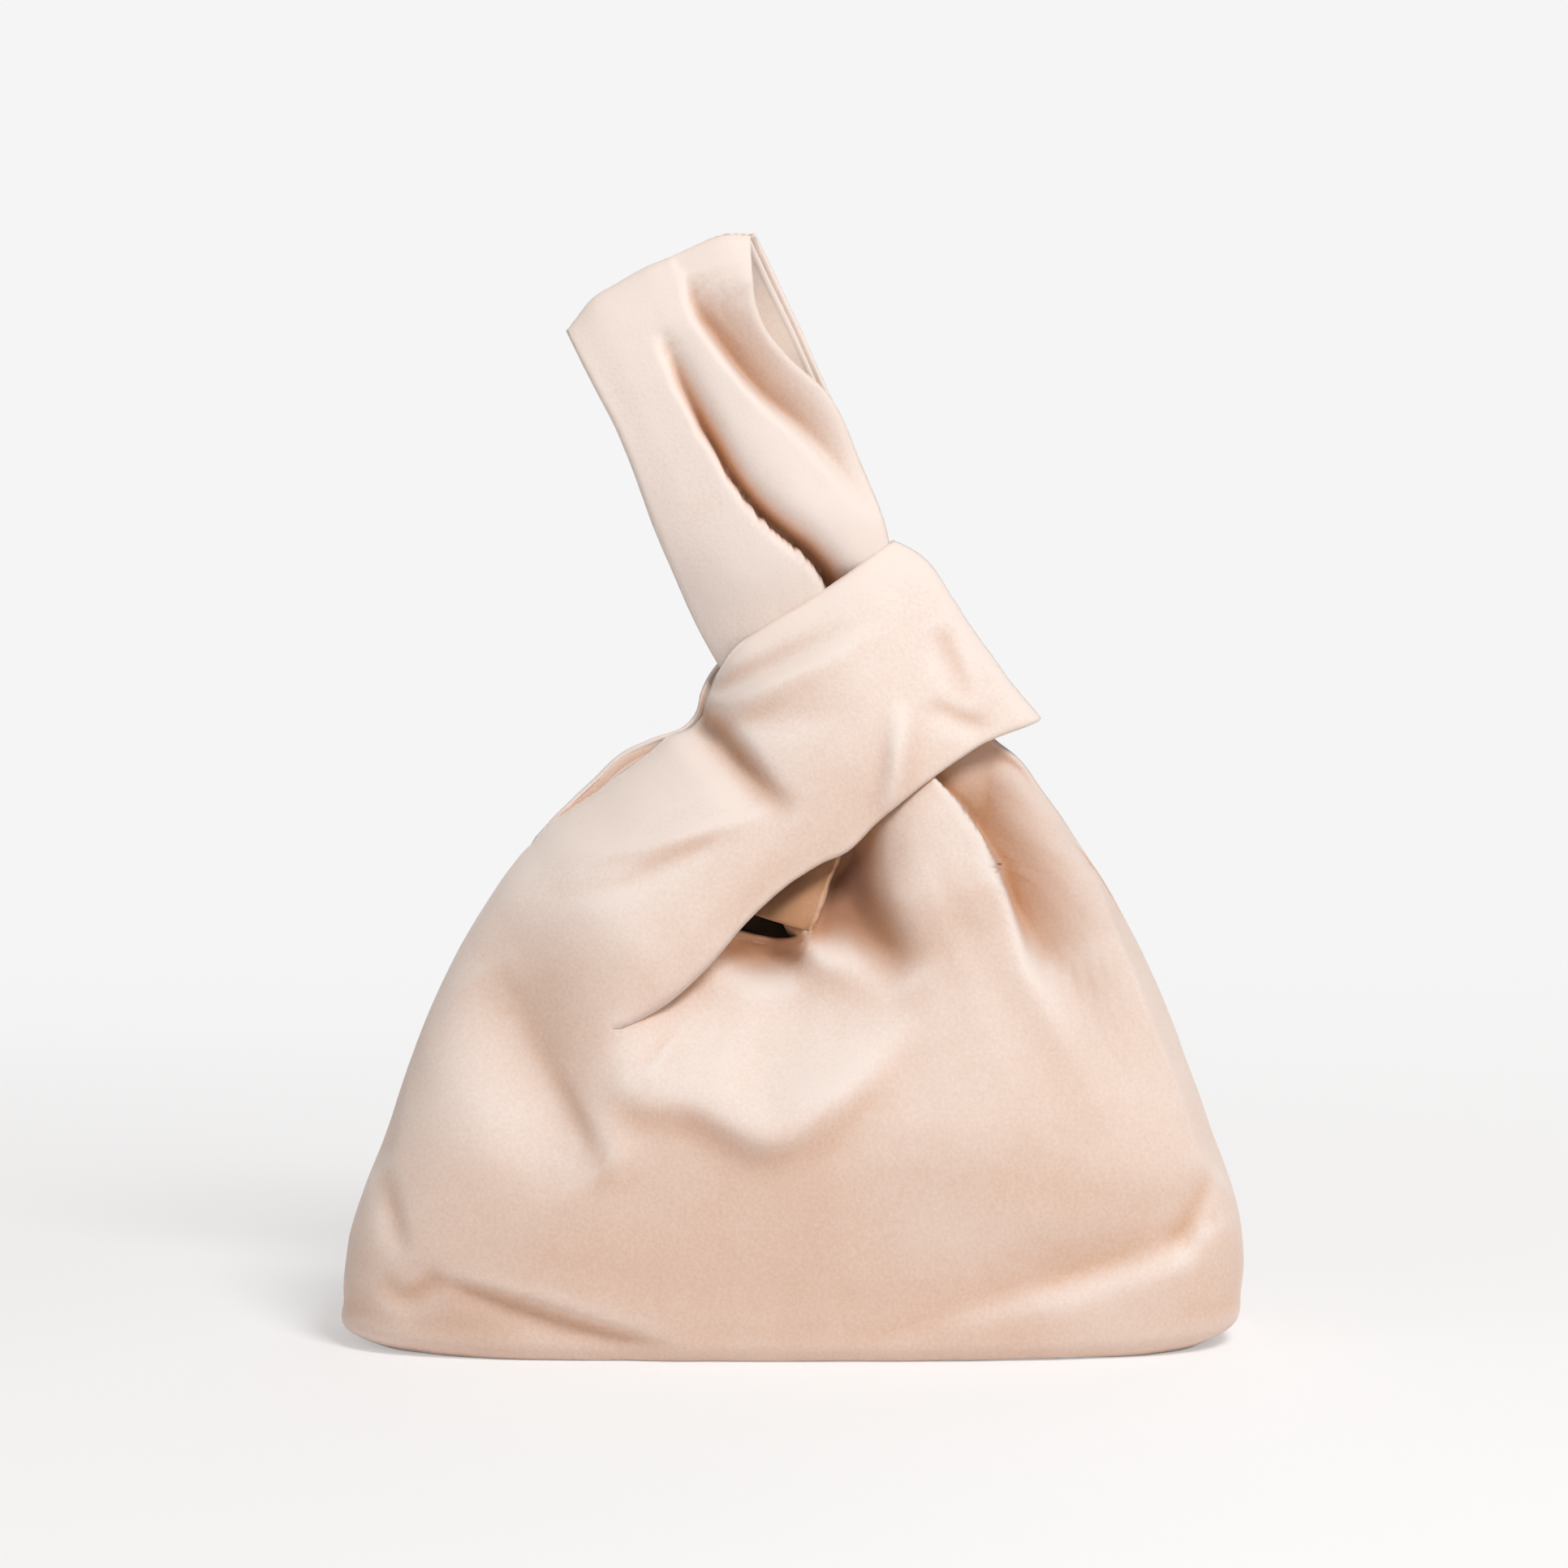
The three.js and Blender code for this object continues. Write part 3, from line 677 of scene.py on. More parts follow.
def rootDepth(across, along):
    left, right = curveAt(root["left"], along), curveAt(root["right"], along)
    share = np.clip((across - left) / (right - left), 0, 1)
    depth = curveAt(root["rightDepth"], along)
    depth = depth + (curveAt(root["leftDepth"], along) - depth) * roundOff(share, root["squareness"])
    return depth + curveAt(root["crown"], along) * 4 * share * (1 - share)


def rootField(x, z):
    across, along = placeOf(x, z, handleWay)
    beside = smooth(*root["beside"], across - curveAt(root["left"], along))
    above = smooth(*root["above"], along)
    own = smooth(*root["start"], along) * (1 - (1 - beside) * (1 - above))
    return bodyDepth(x, z) * (1 - own) + rootDepth(across, along) * own


def panelColumns(detail):
    leftEnd = columnAt(*map(np.array, pouch["slitRoot"]))
    rightEnd = columnAt(*map(np.array, pouch["slotCorner"]))
    counts = [int(n * detail) for n in pouch["columns"]]
    groups = [np.linspace(-1, leftEnd, counts[0]), np.linspace(leftEnd, rightEnd, counts[1]),
              np.linspace(rightEnd, 1, counts[2])]
    columns = np.concatenate((groups[0], groups[1][1:], groups[2][1:]))
    return columns, counts[0] - 1, counts[0] + counts[1] - 2


def panelTops(columns, side):  # heights along the shoulders and the neckline
    leftEnd = np.array(frontOf(*ribbon["upper"][0], ribbonWay))
    rightEnd = np.array(frontOf(*root["right"][0][::-1], handleWay))
    slitRoot, slotCorner = np.array(pouch["slitRoot"]), np.array(pouch["slotCorner"])
    steps = np.linspace(0, 1, pouch["shoulderSteps"])[:, None]
    edge = foldLine(pouch["neckline"])[0]
    if side == back:
        edge[:, 1] += pouch["backRise"] * np.sin(np.linspace(0, math.pi, len(edge)))
    leftPart = leftEnd + (slitRoot - leftEnd) * steps
    rightPart = slotCorner + (rightEnd - slotCorner) * steps
    x, z = np.concatenate((leftPart, edge[1:-1], rightPart)).T
    return np.interp(columns, columnAt(x, z), z)


def panelGrid(side, detail):
    columns, leftEnd, rightEnd = panelColumns(detail)
    tops = panelTops(columns, side)
    level = np.zeros_like(columns)
    edgeX = columnX(columns, level)
    edgeDepth = bodyDepth(edgeX, level)
    seamShare, seamStart, belly = pouch["seamShare"], pouch["seamStart"], pouch["belly"]
    baseShares, bellyShares, wallShares = [np.linspace(0, 1, int(n * detail)) for n in pouch["rows"]]
    rows = [stack(edgeX * seamShare, seamGap, pouch["seamRise"], side)]
    for share in baseShares:
        inset = seamShare + (1 - seamShare) * share
        rows.append(stack(edgeX * inset, seamStart + (edgeDepth - seamStart) * share, floorGap, side))
    for share in bellyShares[1:]:
        z = np.full_like(columns, belly * share ** pouch["bellyPower"])
        x = columnX(columns, z)
        rows.append(stack(x, bodyDepth(x, z), z, side))
    for share in wallShares[1:]:
        z = belly + (tops - belly) * share
        x = columnX(columns, z)
        depth = np.where(columns <= columns[leftEnd], ribbonField(x, z, side), rootField(x, z))
        middle = (columns > columns[leftEnd]) & (columns < columns[rightEnd])
        depth = np.where(middle, bodyDepth(x, z), depth)
        left, right = outlines(z)
        rim = seamGap + rimDepth(np.minimum(x - left, right - x))
        rim += pouch["lowRim"] * (1 - smooth(*pouch["lowRimHeights"], z))
        rows.append(stack(x, np.minimum(depth, rim), z, side))
    rows = np.array(rows)
    sewn = np.exp(-(rows[:, :, 1] / pouch["pinchWidth"]) ** 2) * (rows[:, :, 2] > pouch["pinchFrom"])
    sewn *= np.abs(columns) > pouch["pinchColumns"]
    rows[:, :, 0] -= np.sign(columns) * pouch["pinch"] * sewn
    return rows, leftEnd, rightEnd


def evenShares(start, step):  # from the panel's own columns to evenly spaced ones
    ordered = np.clip(start, 0, 1)
    ordered[0], ordered[-1] = round(ordered[0]), round(ordered[-1])
    spaced = np.linspace(ordered[0], ordered[-1], len(start))
    inOrder = np.maximum if spaced[-1] > spaced[0] else np.minimum
    ordered[:-1] = inOrder.accumulate(ordered[:-1])
    first = pouch["evenFirst"]
    return ordered + (spaced - ordered) * (first + (1 - first) * smooth(0, pouch["evenReach"], step))


def ribbonGrid(top, side, detail, margin):  # top is the panel's upper edge on the left shoulder
    along, across = placeOf(top[:, 0], top[:, 2], ribbonWay)
    low, high = ribbonEdges(along, side)
    start = (across - low) / (high - low)
    rows = [top]
    for step in np.linspace(0, 1, int(ribbon["rows"] * detail))[1:]:
        eased = 1 - (1 - step) ** ribbon["easing"]
        share = evenShares(start, step)
        inset = margin * smooth(0, pouch["insetReach"], step)
        reach = along.copy()
        for _ in range(4):  # the end's line depends on the place across
            low, high = ribbonEdges(reach, side, inset)
            end = curveAt(ribbon["end"], low + (high - low) * share)
            reach = along + (end - along) * eased
        place = low + (high - low) * share
        x, z = frontOf(reach, place, ribbonWay)
        rim = curveAt(ribbon["upperDepth"], reach) + rimDepth((1 - share) * (high - low))
        if side == back:
            rim = rim + curveAt(ribbon["backSwell"], reach)
        depth = np.minimum(ribbonField(x, z, side), rim)
        if margin == 0:
            depth = depth - edgeTurn(share, high - low) * smooth(0, ribbon["edgeReach"], step)
        rows.append(stack(x, np.maximum(depth, seamGap), z, side))
    return np.array(rows)


def rootGrid(top, side, detail, margin):  # and on the right shoulder
    across, along = placeOf(top[:, 0], top[:, 2], handleWay)
    left, right = curveAt(root["left"], along), curveAt(root["right"], along)
    start = (across - left) / (right - left)
    rows = [top]
    for step in np.linspace(0, 1, int(root["rows"] * detail))[1:]:
        share = evenShares(start, step)
        reach = along + (root["top"] - along) * step
        inset = pouch["topMargins"] * margin * smooth(0, pouch["insetReach"], step)
        left, right = curveAt(root["left"], reach) + inset, curveAt(root["right"], reach) - inset
        x, z = frontOf(left + (right - left) * share, reach, handleWay)
        depth = np.minimum(rootField(x, z), seamGap + rimDepth((1 - share) * (right - left)))
        rows.append(stack(x, np.maximum(depth, seamGap), z, side))
    return np.array(rows)


def lipGrid(rows, detail):
    top = rows[-1]
    upward = unit(top - rows[-3])
    inward = unit(np.cross(np.gradient(top, axis=0), upward))
    inward *= -np.sign(inward[:, 1:2] * top[:, 1:2])
    rolled = smooth(0, lip["cornerReach"], np.linalg.norm(top - top[-1], axis=1))[:, None]
    beside = (1 - rolled) * np.array(lip["cornerWay"]) * (1, -np.sign(top[0, 1]), 1)
    upward, inward = rolled * upward + beside, rolled * inward + beside
    made = [top]
    for angle in np.radians(np.linspace(0, lip["angle"], int(lip["rows"] * detail)))[1:]:
        made.append(top + lip["radius"] * (math.sin(angle) * upward + (1 - math.cos(angle)) * inward))
    turned = made[-1]
    heading = unit(turned - made[-2])
    for step in np.linspace(0, lip["tail"], int(lip["tailRows"] * detail))[1:]:
        made.append(turned + heading * step)
    return np.array(made)


def turnGrid(edge, side, detail):
    height = np.linspace(0, 1, len(edge))
    far = np.linspace(*turnIn["far"], int(turnIn["columns"] * detail))
    columns = []
    for away in np.concatenate((turnIn["near"], far))[::-1]:
        drop = turnIn["drop"] * (1 - math.exp(-(away / turnIn["dropWidth"]) ** 2))
        point = edge.copy()
        point[:, 0] -= away * (1 - turnIn["narrowing"] * height)
        point[:, 1] -= side * (drop + turnIn["slope"] * away + turnIn["bend"] * away ** 2)
        point[:, 2] += away * (turnIn["rise"] + turnIn["riseMore"] * height)
        columns.append(point)
    return np.stack(columns, axis=1)


def bagSide(name, side, detail, folds, margin=0):
    panel, leftEnd, rightEnd = panelGrid(side, detail)
    grids = [
        (panel, zoneBody),
        (ribbonGrid(panel[-1, :leftEnd + 1], side, detail, margin), zoneRibbon),
        (rootGrid(panel[-1, rightEnd:], side, detail, margin), zoneRoot),
        (lipGrid(panel[:, leftEnd:rightEnd + 1], detail), zoneLip),
    ]
    if margin == 0:
        rootEdge = grids[2][0][:int(turnIn["rows"] * detail), 0]
        grids.append((turnGrid(rootEdge, side, detail), zoneTurn))
    if side == back:
        grids = [(points[:, ::-1], zone) for points, zone in grids]
    piece = weld([clothGrid(f"{name}_{k}", points, zone) for k, (points, zone) in enumerate(grids)])
    piece.name = piece.data.name = name
    applyFolds(piece, folds, pouch["waves"], bagPulls, bagView, np.eye(3)[::2], bagRoom)
    settle(piece)
    points = readPoints(piece)
    points[:, 2] = np.maximum(points[:, 2], floorGap)
    writePoints(piece, points)
    return piece


def bagRoom(x, z):
    across, along = placeOf(x, z, handleWay)
    inKnot = smooth(*pouch["knotAlong"], along) * (1 - smooth(*pouch["knotAcross"], np.abs(across)))
    return pouch["room"] + pouch["knotRoom"] * inKnot


def bagView(points):
    return points[:, 0], points[:, 2]


def bagPulls(x, z):  # the cloth is drawn up towards the knot
    reach = np.hypot(x - knotCentre[0], z - knotCentre[2])
    turn = np.arctan2(x - knotCentre[0], knotCentre[2] - z)
    pulls = drape(reach, turn * pouch["pullTurn"], pouch["pulls"])
    far = smooth(*pouch["pullFar"], reach)
    return pulls * smooth(*pouch["pullNear"], reach) * (1 - pouch["pullFade"] * far)


inBody, inRibbon = (zoneBody,), (zoneRibbon,)
bothLeft, bothRight = (zoneBody, zoneRibbon), (zoneBody, zoneRoot)
lipHollow = [(1, 108), (3, 115), (5, 121.5), (8, 129), (10.8, 136.4), (13, 141)]
frontFolds = [
    # left of the slit, where the shoulder's cloth hangs over
    ridge([(-88, 110), (-79, 94), (-71, 80), (-64, 66), (-57, 54)], -7.5, (12, 17),
          [(0, 0.3), (0.25, 0.9), (0.7, 0.9), (1, 0)], bothLeft),
    ridge([(-75, 98), (-66, 85), (-58, 73), (-52, 61), (-47, 51)], 2.2, (7, 4),
          [(0, 0), (0.3, 0.4), (0.7, 1), (1, 0)], inBody),
    # the belly's ridge under the slit
    ridge([(-50, 92), (-47, 80), (-27, 76), (-6, 67), (10, 76), (34, 100)], 4.4, (12, 7), fade, inBody),
    # hollow beside the lip, and on into the body, both with painted shade
    pleat(lipHollow, 0.0, (3, 10),
          [(0, 0), (0.22, 0), (0.5, 0.9), (0.7, 1), (1, 1)], bothRight, drop=15.0, ramp=1.2, lap=1.0,
          foldShade=1.0),
    ridge([(12.5, 137), (20, 125), (27, 115), (33, 107)], -9.0, (8, 7),
          [(0, 0.8), (0.35, 1), (0.65, 0.75), (1, 0)], bothRight, foldShade=0.75),
    # the neckline sinks in under the short loop, with painted shade
    ridge([(-22, 118), (-12, 115), (-2, 115), (4, 119)], -9.0, (7, 6), fade, (zoneBody, zoneLip),
          foldShade=0.5),
    # pleat in the long loop's root, and the valley beside it, both with painted shade
    pleat([(90, 64), (82, 82), (73, 97), (66, 110), (62, 124), (58.5, 135), (54, 146), (47.5, 156),
           (40.8, 163), (33, 171)], 1.4, (16, 24),
          [(0, 0), (0.18, 0.08), (0.36, 0.32), (0.54, 0.8), (0.72, 1), (1, 1)], bothRight, drop=19.0,
          ramp=1.5, lap=1.8, foldShade=0.5, soften=[(0, 9), (0.36, 8), (0.54, 2.5), (0.68, 1.2), (1, 1)]),
    ridge([(44, 168), (56, 152), (66, 136), (73, 120)], -0.5, (9, 9), [(0, 1), (0.5, 0.8), (1, 0)],
          bothRight, foldShade=0.04),
    # shallow sways: the first two darker with painted shade, the last two paler with painted light
    ridge([(72, 142), (82, 120), (90, 96), (94, 76)], -0.2, (14, 14), [(0, 0.3), (0.4, 1), (1, 0)],
          bothRight, foldShade=0.12),
    ridge([(-114, 18), (-98, 12), (-74, 8)], -0.2, (8, 8), fade, inBody, foldShade=0.1),
    ridge([(6, 46), (41, 40), (74, 34)], -0.2, (16, 16), fade, inBody, foldShade=-0.25),
    ridge([(70, 13), (98, 14), (116, 19)], -0.2, (9, 9), fade, inBody, foldShade=-0.3),
    # corners and base
    ridge([(-119, 54), (-115, 41), (-111, 29)], -1.8, (3, 5), fade, inBody),
    ridge([(-119, 22), (-111, 17.5), (-104, 22), (-101, 27)], -1.6, (3, 4), fade, inBody),
    pleat([(-104, 26), (-91, 23.5), (-66, 16.5), (-31, 6.5)], 1.0, (9, 9), fade, inBody, drop=2.2,
          ramp=3.0, lap=0.4),
    ridge([(12, 6.5), (28, 10.5), (52, 18.8), (82, 26), (111, 34.5)], -3.8, (13, 5),
          [(0, 0), (0.4, 0.5), (0.85, 1), (1, 0.7)], inBody),
    ridge([(111, 34), (117, 45), (122, 56)], -2.4, (5, 3), wane, inBody),
    # short loop: dent and ridges that run out from the pinch; painted shade in the dent and in the
    # valley above the ridge
    ridge([(-27, 183), (-18, 173), (-8, 162), (1, 154)], -6.0, (3.4, 5.4), [(0, 0.8), (0.4, 1), (1, 0)],
          inRibbon, foldShade=0.4),
    ridge([(-25.5, 185), (-15.3, 189.3), (-3.9, 194.7), (11.2, 201), (24, 209)], 3.0, (2.0, 5), wane,
          inRibbon),
    ridge([(-22, 189.5), (-10, 196), (4, 203), (18, 210.5)], -1.8, (3.5, 4), wane, inRibbon, foldShade=0.12),
    ridge([(-19, 181), (-6, 182.5), (8, 184), (20, 187)], -1.6, (5, 5), wane, inRibbon),
    ridge([(-71, 144), (-48.5, 145), (-26.5, 150.5), (-2, 158)], 1.0, (2.4, 3.2), fade, inRibbon),
    ridge([(-66, 132), (-52, 134.5), (-36, 141), (-20, 149)], -0.9, (3.0, 3.0), fade, inRibbon),
    ridge([(31, 188), (30, 176), (28.5, 164), (26, 155)], 2.2, (3.4, 2.4), fade, inRibbon),
    ridge([(41.5, 208), (45.5, 197), (50.5, 184)], -1.7, (3.4, 3.4), fade, inRibbon),
    ridge([(38, 187), (47, 182), (58, 177.5)], -1.4, (3, 3.6), fade, inRibbon),
]
backFolds = [
    ridge([(-84, 110), (-76, 94), (-66, 78), (-56, 64), (-44, 54)], -4.5, (13, 14), fade, bothLeft),
    ridge([(-48, 90), (-40, 80), (-18, 74), (6, 70), (24, 80), (44, 100)], 1.8, (10, 8), fade, inBody),
    pleat(lipHollow, 0.0, (3, 11),
          [(0, 0), (0.35, 0.8), (0.5, 1), (1, 1)], bothRight, drop=7.0, ramp=3.0, lap=0.01),
    pleat([(56, 108), (52, 126), (47, 142), (40, 154), (32, 162)], 2.6, (14, 16), grow, bothRight,
          drop=7.0, ramp=1.8, lap=2.0),
    ridge([(-112, 38), (-84, 27), (-52, 18), (-18, 8)], -3.0, (11, 6), fade, inBody),
    pleat([(20, 6), (52, 14), (84, 21), (108, 27)], 1.2, (9, 9), fade, inBody, drop=2.4, ramp=3.0,
          lap=0.4),
    ridge([(112, 30), (117, 42), (118, 56)], -2.4, (5, 4), fade, inBody),
    ridge([(-26, 182), (-12, 170), (4, 160), (14, 156)], -2.6, (7, 5), wane, inRibbon),
]

outerKind = (pouch["thickness"], outerCloth, "outer_cloth")
liningKind = (pouch["liningThickness"], liningCloth, "lining_cloth")
seamPoints = {}
for word, side, folds in (("front", front, frontFolds), ("back", back, backFolds)):
    outer = bagSide(f"{word}_cloth", side, 1.0, folds)
    seamPoints.setdefault("bag", (readPoints(outer), readZones(outer)))  # the halves share their edges
    makeUp(outer, outerKind, "bag")
    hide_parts(f"{word}_panel", f"short_loop_{word}", f"long_loop_root_{word}")
    inner = bagSide(f"{word}_lining", side, pouch["liningDetail"], folds, pouch["liningMargin"])
    inside = readPoints(inner) - readNormals(inner) * pouch["liningInset"]
    inside[:, 1] = side * np.maximum(side * inside[:, 1], pouch["liningGap"])
    writePoints(inner, inside)
    makeUp(inner, liningKind, "bag")
    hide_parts(f"{word}_panel_lining", f"short_loop_{word}_lining",
                f"long_loop_root_{word}_lining")
    print(word, "cloth made", len(outer.data.polygons), "faces, lining", len(inner.data.polygons))


# The handle: the long loop above the knot, one strip of cloth over the top

handle = {  # across and along the handle, from the knot's centre
    "foot": -14.0,
    "left": [(-14, -22), (10, -29), (27, -32), (45, -33), (69, -32.2), (99, -30.4), (118, -31.4),
             (134, -32)],
    "rightFront": [(-14, 14), (10, 19), (24, 23.5), (37, 28.4), (60, 30), (84, 29.6), (98, 23.6),
                   (108, 21), (116, 21.4), (124, 24), (134, 28)],
    "rightBack": [(-14, 14), (10, 19), (24, 23.5), (37, 28.4), (61, 30), (86, 30.4), (105, 30.4),
                  (120, 30), (134, 29.6)],
    "top": [(-32, 131.5), (-21, 136.4), (-12, 137.8), (8, 138), (24, 136.4), (30, 134)],
    "edgeDepth": [(-14, 2.0), (30, 2.2), (46, 5), (70, 7.4), (100, 7.2), (134, 6)],
    "middleDepth": [(-14, 3.4), (30, 9), (46, 14), (70, 13), (100, 9.8), (134, 7)],
    "crownPower": 2.4,
    "turn": 22.0,  # length of the round turn over the top
    "columns": 64, "rows": 104, "easing": 1.7,
    "room": -2.0,  # a fold may reach a little past the middle
    "paler": 0.3,  # painted light: the whole strip's tone is made paler than the pouch's
    "waves": [(34.0, 0.6), (13.0, 0.25), (6.0, 0.08)],
    "pulls": [(70.0, 12.0, 0.4), (40.0, 6.0, 0.14)],
    "bendStart": 38.0, "bendEnd": 58.0,
    "cut": (0.067, 0.31),  # metres, flat
    "liningCut": (0.063, 0.3),
}
gather = {  # the same strap drawn together inside the knot
    "low": -42.0, "high": -17.0,
    "halfWidth": [(-42, 20), (-17, 17)],
    "halfDepth": [(-42, 6.0), (-17, 3.0)],
    "pleats": 9, "pleatShare": 0.28, "columns": 145, "rows": 26, "cut": (0.09, 0.026),
}
zoneFront, zoneBack = 0, 1
inFront, inBack = (zoneFront,), (zoneBack,)


def handlePoint(share, step, side, margin):  # step runs from 0 at the foot to 1 at the top
    rightEdge = handle["rightFront"] if side == front else handle["rightBack"]
    leftEnd, rightEnd = handle["left"][-1][1], handle["rightBack"][-1][1]
    top = curveAt(handle["top"], leftEnd + (rightEnd - leftEnd) * share)
    along = handle["foot"] + (top - handle["foot"]) * (1 - (1 - step) ** handle["easing"])
    left, right = curveAt(handle["left"], along) + margin, curveAt(rightEdge, along) - margin
    edge, middle = curveAt(handle["edgeDepth"], along), curveAt(handle["middleDepth"], along)
    depth = edge + (middle - edge) * (1 - np.abs(2 * share - 1) ** handle["crownPower"])
    turned = np.clip((along - top + handle["turn"]) / handle["turn"], 0, 1)
    depth = (depth - edgeTurn(share, right - left)) * roundOff(turned, 2)
    x, z = frontOf(left + (right - left) * share, along, handleWay)
    return stack(x, np.maximum(depth, 0), z, side)


def handleView(points):
    return placeOf(points[:, 0], points[:, 2], handleWay)


def handleRoom(across, along):
    return handle["room"]


def handlePulls(across, along):
    return drape(along, across, handle["pulls"])


handleFolds = [
    # the front leg's two pleats carry painted shade on their low sides
    pleat([(5, 20), (5, 33), (3.4, 43), (-1.4, 52.7), (-6.6, 69), (-8.8, 84), (-10.8, 103), (-11, 121)],
          0.3, (12, 9), [(0, 1), (0.3, 1), (0.5, 0.8), (0.75, 0.5), (0.9, 0.25), (1, 0)], inFront,
          drop=15.0, ramp=1.2, lap=1.6, foldShade=0.85, narrow=2.4,
          spread=[(0, 0.6), (0.25, 0.55), (0.45, 0.45), (1, 0.5)],
          soften=[(0, 1), (0.55, 1), (0.8, 2.6), (1, 4)]),
    pleat([(25, 44), (22.3, 55), (20, 64), (14.4, 79), (9.4, 89.5), (4.4, 107), (2.2, 122), (4, 132)],
          0.5, (8, 15), [(0, 0), (0.2, 0.5), (0.5, 1), (0.8, 0.9), (1, 0.1)], inFront, drop=10.0,
          ramp=3.0, lap=0.8, foldShade=0.45, narrow=1.6),
    pleat([(-15, 20), (-15, 34), (-12, 50), (-7, 70), (-3, 92), (-4, 112)], 0.6, (10, 10),
          [(0, 1), (0.4, 1), (0.8, 0.5), (1, 0)], inBack, drop=6.0, ramp=1.6, lap=1.8),
    pleat([(15, 44), (14, 60), (12, 78), (13, 100), (16, 122)], 0.6, (8, 9), fade, inBack, drop=3.6,
          ramp=2.8, lap=0.6),
]


def handleStrip(name, detail, margin=0):
    shares = np.linspace(0, 1, int(handle["columns"] * detail))
    steps = np.linspace(0, 1, int(handle["rows"] * detail))
    frontLeg = np.array([handlePoint(shares, step, front, margin) for step in steps])
    backLeg = np.array([handlePoint(shares, step, back, margin) for step in steps])[::-1]
    piece = weld([clothGrid(name, frontLeg, zoneFront), clothGrid(name + "_back", backLeg, zoneBack)])
    applyFolds(piece, handleFolds, handle["waves"], handlePulls, handleView, handleWay, handleRoom)
    settle(piece)
    return piece


def handleBlend(piece):
    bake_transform(piece)


def gatheredStem(name):
    turn = np.linspace(0, 2 * math.pi, gather["columns"])
    rows = []
    for along in np.linspace(gather["low"], gather["high"], gather["rows"]):
        across = curveAt(gather["halfWidth"], along) * np.cos(turn)
        depth = curveAt(gather["halfDepth"], along) * np.sin(turn)
        depth = depth * (1 + gather["pleatShare"] * np.cos(gather["pleats"] * turn))
        x, z = frontOf(across, along, handleWay)
        rows.append(np.stack((x, depth, z), axis=-1))
    return weld([clothGrid(name, np.array(rows), zoneFront)])


stem = gatheredStem("gathered_stem")
makeUp(stem, outerKind, "stem")
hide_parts("handle_stem")
strap = handleStrip("handle_cloth", 1.0)
seamPoints["handle"] = readPoints(strap)
makeUp(strap, outerKind, paler=handle["paler"])
handleBlend(strap)
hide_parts("handle_front", "handle_back", "handle_neck")
strapLining = handleStrip("handle_lining", pouch["liningDetail"], pouch["liningMargin"])
writePoints(strapLining, readPoints(strapLining) - readNormals(strapLining) * pouch["liningInset"])
makeUp(strapLining, liningKind)
handleBlend(strapLining)
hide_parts("handle_front_lining", "handle_back_lining")
print("handle made", len(strap.data.polygons), "faces")

# Seams: short stitches in the grooves where the halves meet

seams = {
    "stitch": 2.6, "pitch": 3.3,
    "thread": 0.34,  # half the thread's thickness
    "proud": -0.3,  # they lie a little below the cloth
    "segments": 8, "rings": 6,
    "edgeGap": 0.6,  # the halves' edges lie this near to the middle
    "lowest": 6.0,  # where the side seams start
    "sides": 60.0, "loopEnd": 30.0, "baseSteps": 60, "baseHeight": 0.75, "topGap": 0.3, "topReach": 5.0,
}


def stitchShape():
    choose()
    bpy.ops.mesh.primitive_uv_sphere_add(segments=seams["segments"], ring_count=seams["rings"], radius=1)
    ball = bpy.context.object
    points = np.array([vertex.co[:] for vertex in ball.data.vertices])
    faces = [list(face.vertices) for face in ball.data.polygons]
    bpy.ops.object.delete()
    return points, faces


def sewSeam(name, path, outward, body):
    reach = np.concatenate(((0,), np.cumsum(np.linalg.norm(np.diff(path, axis=0), axis=1))))
    shape, shapeFaces = stitchShape()
    places = np.arange(seams["pitch"], reach[-1] - seams["pitch"] / 2, seams["pitch"])
    points, faces = [], []
    for place in places:
        ends = [np.array([np.interp(place + half, reach, path[:, k]) for k in range(3)])
                for half in (-seams["stitch"] / 2, seams["stitch"] / 2)]
        run = (ends[1] - ends[0]) / 2
        side = np.cross(run, outward)
        side *= seams["thread"] / np.linalg.norm(side)
        rise = np.cross(side, run)
        rise *= seams["thread"] / np.linalg.norm(rise)
        centre = (ends[0] + ends[1]) / 2 + outward * seams["proud"]
        faces += [[corner + len(points) * len(shape) for corner in face] for face in shapeFaces]
        points.append(centre + shape[:, :1] * side + shape[:, 1:2] * rise + shape[:, 2:] * run)
    mesh = bpy.data.meshes.new(name)
    mesh.from_pydata((np.concatenate(points) * mm).tolist(), [], faces)
    mesh.update()
    piece = addObject(name, mesh)
    choose(piece)
    inEditMode(bpy.ops.mesh.normals_make_consistent, inside=False)
    bpy.ops.object.shade_smooth()
    dress(piece, seamThread, "seam_thread", body)
    return piece


def edgePath(points, chosen, order):  # the cloth's own edge, in order along the seam
    edge = points[chosen].copy()
    edge[:, 1] = 0
    return edge[np.argsort(order[chosen])]


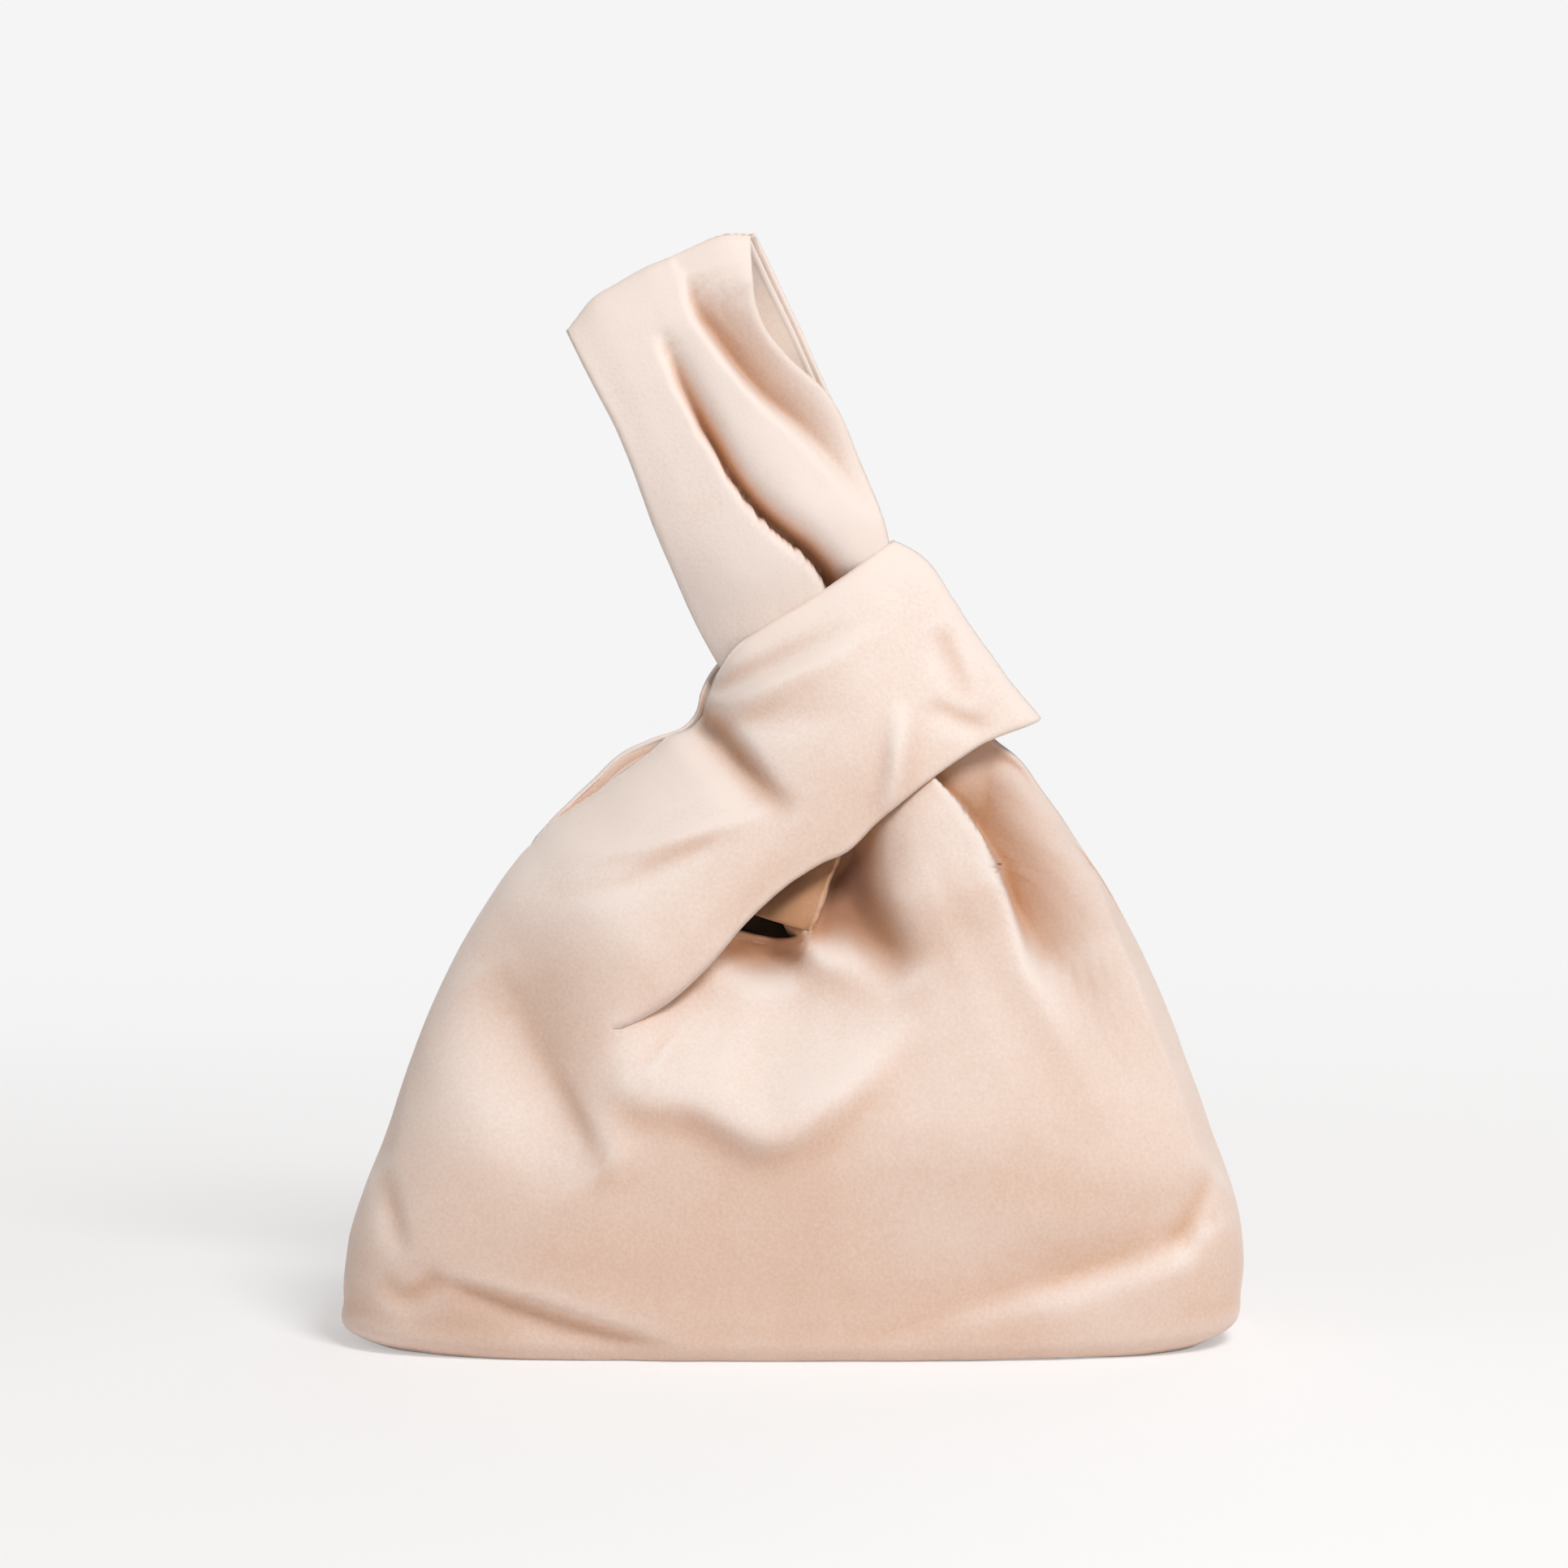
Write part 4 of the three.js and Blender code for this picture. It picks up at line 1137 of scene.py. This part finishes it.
bagPoints, bagZones = seamPoints["bag"]
bagX, bagY, bagHeight = bagPoints.T
onSeam = np.abs(bagY) < seams["edgeGap"]
onWall = (bagZones == zoneBody) & onSeam & (bagHeight > seams["lowest"])
along, across = placeOf(bagX, bagHeight, ribbonWay)
atEnd = (bagZones == zoneRibbon) & onSeam & (along > seams["loopEnd"])
baseX = np.linspace(-1, 1, seams["baseSteps"]) * pouch["seamShare"] * pouch["rightOutline"][0][1]
topPoints = seamPoints["handle"]
topAcross, topAlong = handleView(topPoints)
atTop = topAlong > curveAt(handle["top"], topAcross) - seams["topReach"]
atTop &= np.abs(topPoints[:, 1]) < seams["topGap"]
for name, node, path, outward, body in (
    ("left_stitches", "left_side_seam",
     edgePath(bagPoints, onWall & (bagX < -seams["sides"]), bagHeight), (-1, 0, 0), "bag"),
    ("right_stitches", "right_side_seam",
     edgePath(bagPoints, onWall & (bagX > seams["sides"]), bagHeight), (1, 0, 0), "bag"),
    ("base_stitches", "base_seam", stack(baseX, 0, seams["baseHeight"], front), (0, 0, -1), "bag"),
    ("loop_end_stitches", "short_loop_seam", edgePath(bagPoints, atEnd, across), ribbonRight, "bag"),
    ("handle_top_stitches", "handle_top_seam",
     edgePath(topPoints, atTop, topAcross), handleUp, "handle"),
):
    seam = sewSeam(name, path, np.array(outward), body)
    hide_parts(node)
    print(name, len(seam.data.polygons), "faces")


# Floor and backdrop, light and camera

studio = {
    "floor": linear(251, 250, 251),
    "backdrop": linear(245, 245, 245),
    "floorSize": 40, "floorCells": 8, "floorRough": 0.9, "floorGloss": 0.1,
    "nearGlow": 0.4,  # share of the floor's own brightness beside the bag
    "fadeStart": 0.05,  # metres behind the bag where the floor turns to backdrop
    "fadeEnd": 0.9,
    "aim": (0, 0, 0.14),  # where the lamps point
    "sky": (1.0, 0.955, 0.915, 1), "skyStrength": 0.29,
}
lamps = {
    "key": {"place": (0.78, -1.22, 1.82), "size": 0.8, "power": 34.5, "colour": (1.0, 0.995, 0.985)},
    "left": {"place": (-1.7, -1.1, 1.2), "size": 1.0, "power": 2.6, "colour": (1.0, 0.99, 0.98)},
    "rear": {"place": (0.6, 1.7, 1.3), "size": 1.6, "power": 6.0, "colour": (1.0, 0.99, 0.98)},
}
photo = {  # millimetres, and the width of the view at the target
    "target": (-2.5, 0.0, 161.5), "distance": 1500.0,
    "elevation": math.radians(5),
    "viewWidth": 456.7, "sensor": 36.0,
}


def seenDirectly(link):  # 1 where the eye, a mirror or a glass looks straight at it
    parts = [link.node("ShaderNodeLightPath", output=name)
             for name in ("Is Camera Ray", "Is Glossy Ray", "Is Transmission Ray")]
    return (parts[0] + parts[1] + parts[2]).kept()


def makeFloor():
    choose()
    cells = studio["floorCells"]
    bpy.ops.mesh.primitive_grid_add(x_subdivisions=cells, y_subdivisions=cells, size=studio["floorSize"])
    floor = bpy.context.object
    floor.name = "floor"
    material, shader, link = newMaterial("pale paper")
    link.fill(shader, {"Base Color": studio["floor"], "Roughness": studio["floorRough"],
                       "Specular IOR Level": studio["floorGloss"]})
    places = link.node("ShaderNodeTexCoord", output=3)
    depth = link.node("ShaderNodeSeparateXYZ", {}, {0: places}, 1)
    far = link.node("ShaderNodeMapRange", {"interpolation_type": "SMOOTHSTEP"},
                    {"Value": depth, "From Min": studio["fadeStart"], "From Max": studio["fadeEnd"]})
    tint = link.mix(far, (1, 1, 1, 1), studio["backdrop"])
    glow = link.node("ShaderNodeEmission", {}, {"Color": tint})
    share = studio["nearGlow"] + far * (1 - studio["nearGlow"])
    paper = Link(link.tree, shader.outputs[0])
    blend = link.node("ShaderNodeMixShader", {}, {0: share * seenDirectly(link), 1: paper, 2: glow})
    link.fill(link.tree.nodes["Material Output"], {"Surface": blend})
    floor.data.materials.append(material)


def makeLamp(name, lamp):
    light = bpy.data.lights.new(name, "AREA")
    light.shape = "DISK"
    light.size = lamp["size"]
    light.energy = lamp["power"]
    light.color = lamp["colour"]
    holder = addObject(name, light)
    holder.location = lamp["place"]
    aim = Vector(studio["aim"]) - holder.location
    holder.rotation_euler = aim.to_track_quat("-Z", "Y").to_euler()


def makeWorld():
    world = bpy.data.worlds.new("studio")
    world.use_nodes = True
    bpy.context.scene.world = world
    link = Link(world.node_tree)
    sky, backdrop = [
        link.node("ShaderNodeBackground", {}, {"Color": colour, "Strength": strength})
        for colour, strength in ((studio["sky"], studio["skyStrength"]), (studio["backdrop"], 1.0))
    ]
    blend = link.node("ShaderNodeMixShader", {}, {0: seenDirectly(link), 1: sky, 2: backdrop})
    link.fill(link.tree.nodes["World Output"], {"Surface": blend})


def makeCamera():
    lens = bpy.data.cameras.new("camera")
    camera = addObject("camera", lens)
    away = Vector((0, -math.cos(photo["elevation"]), math.sin(photo["elevation"])))
    camera.location = Vector(photo["target"]) * mm + away * photo["distance"] * mm
    camera.rotation_euler = (-away).to_track_quat("-Z", "Y").to_euler()
    lens.sensor_width = photo["sensor"]
    lens.lens = lens.sensor_width * photo["distance"] / photo["viewWidth"]
    bpy.context.scene.camera = camera


makeFloor()
for name, lamp in lamps.items():
    makeLamp(name, lamp)
makeWorld()
makeCamera()
bpy.context.scene.view_settings.view_transform = "Standard"
print("studio made")
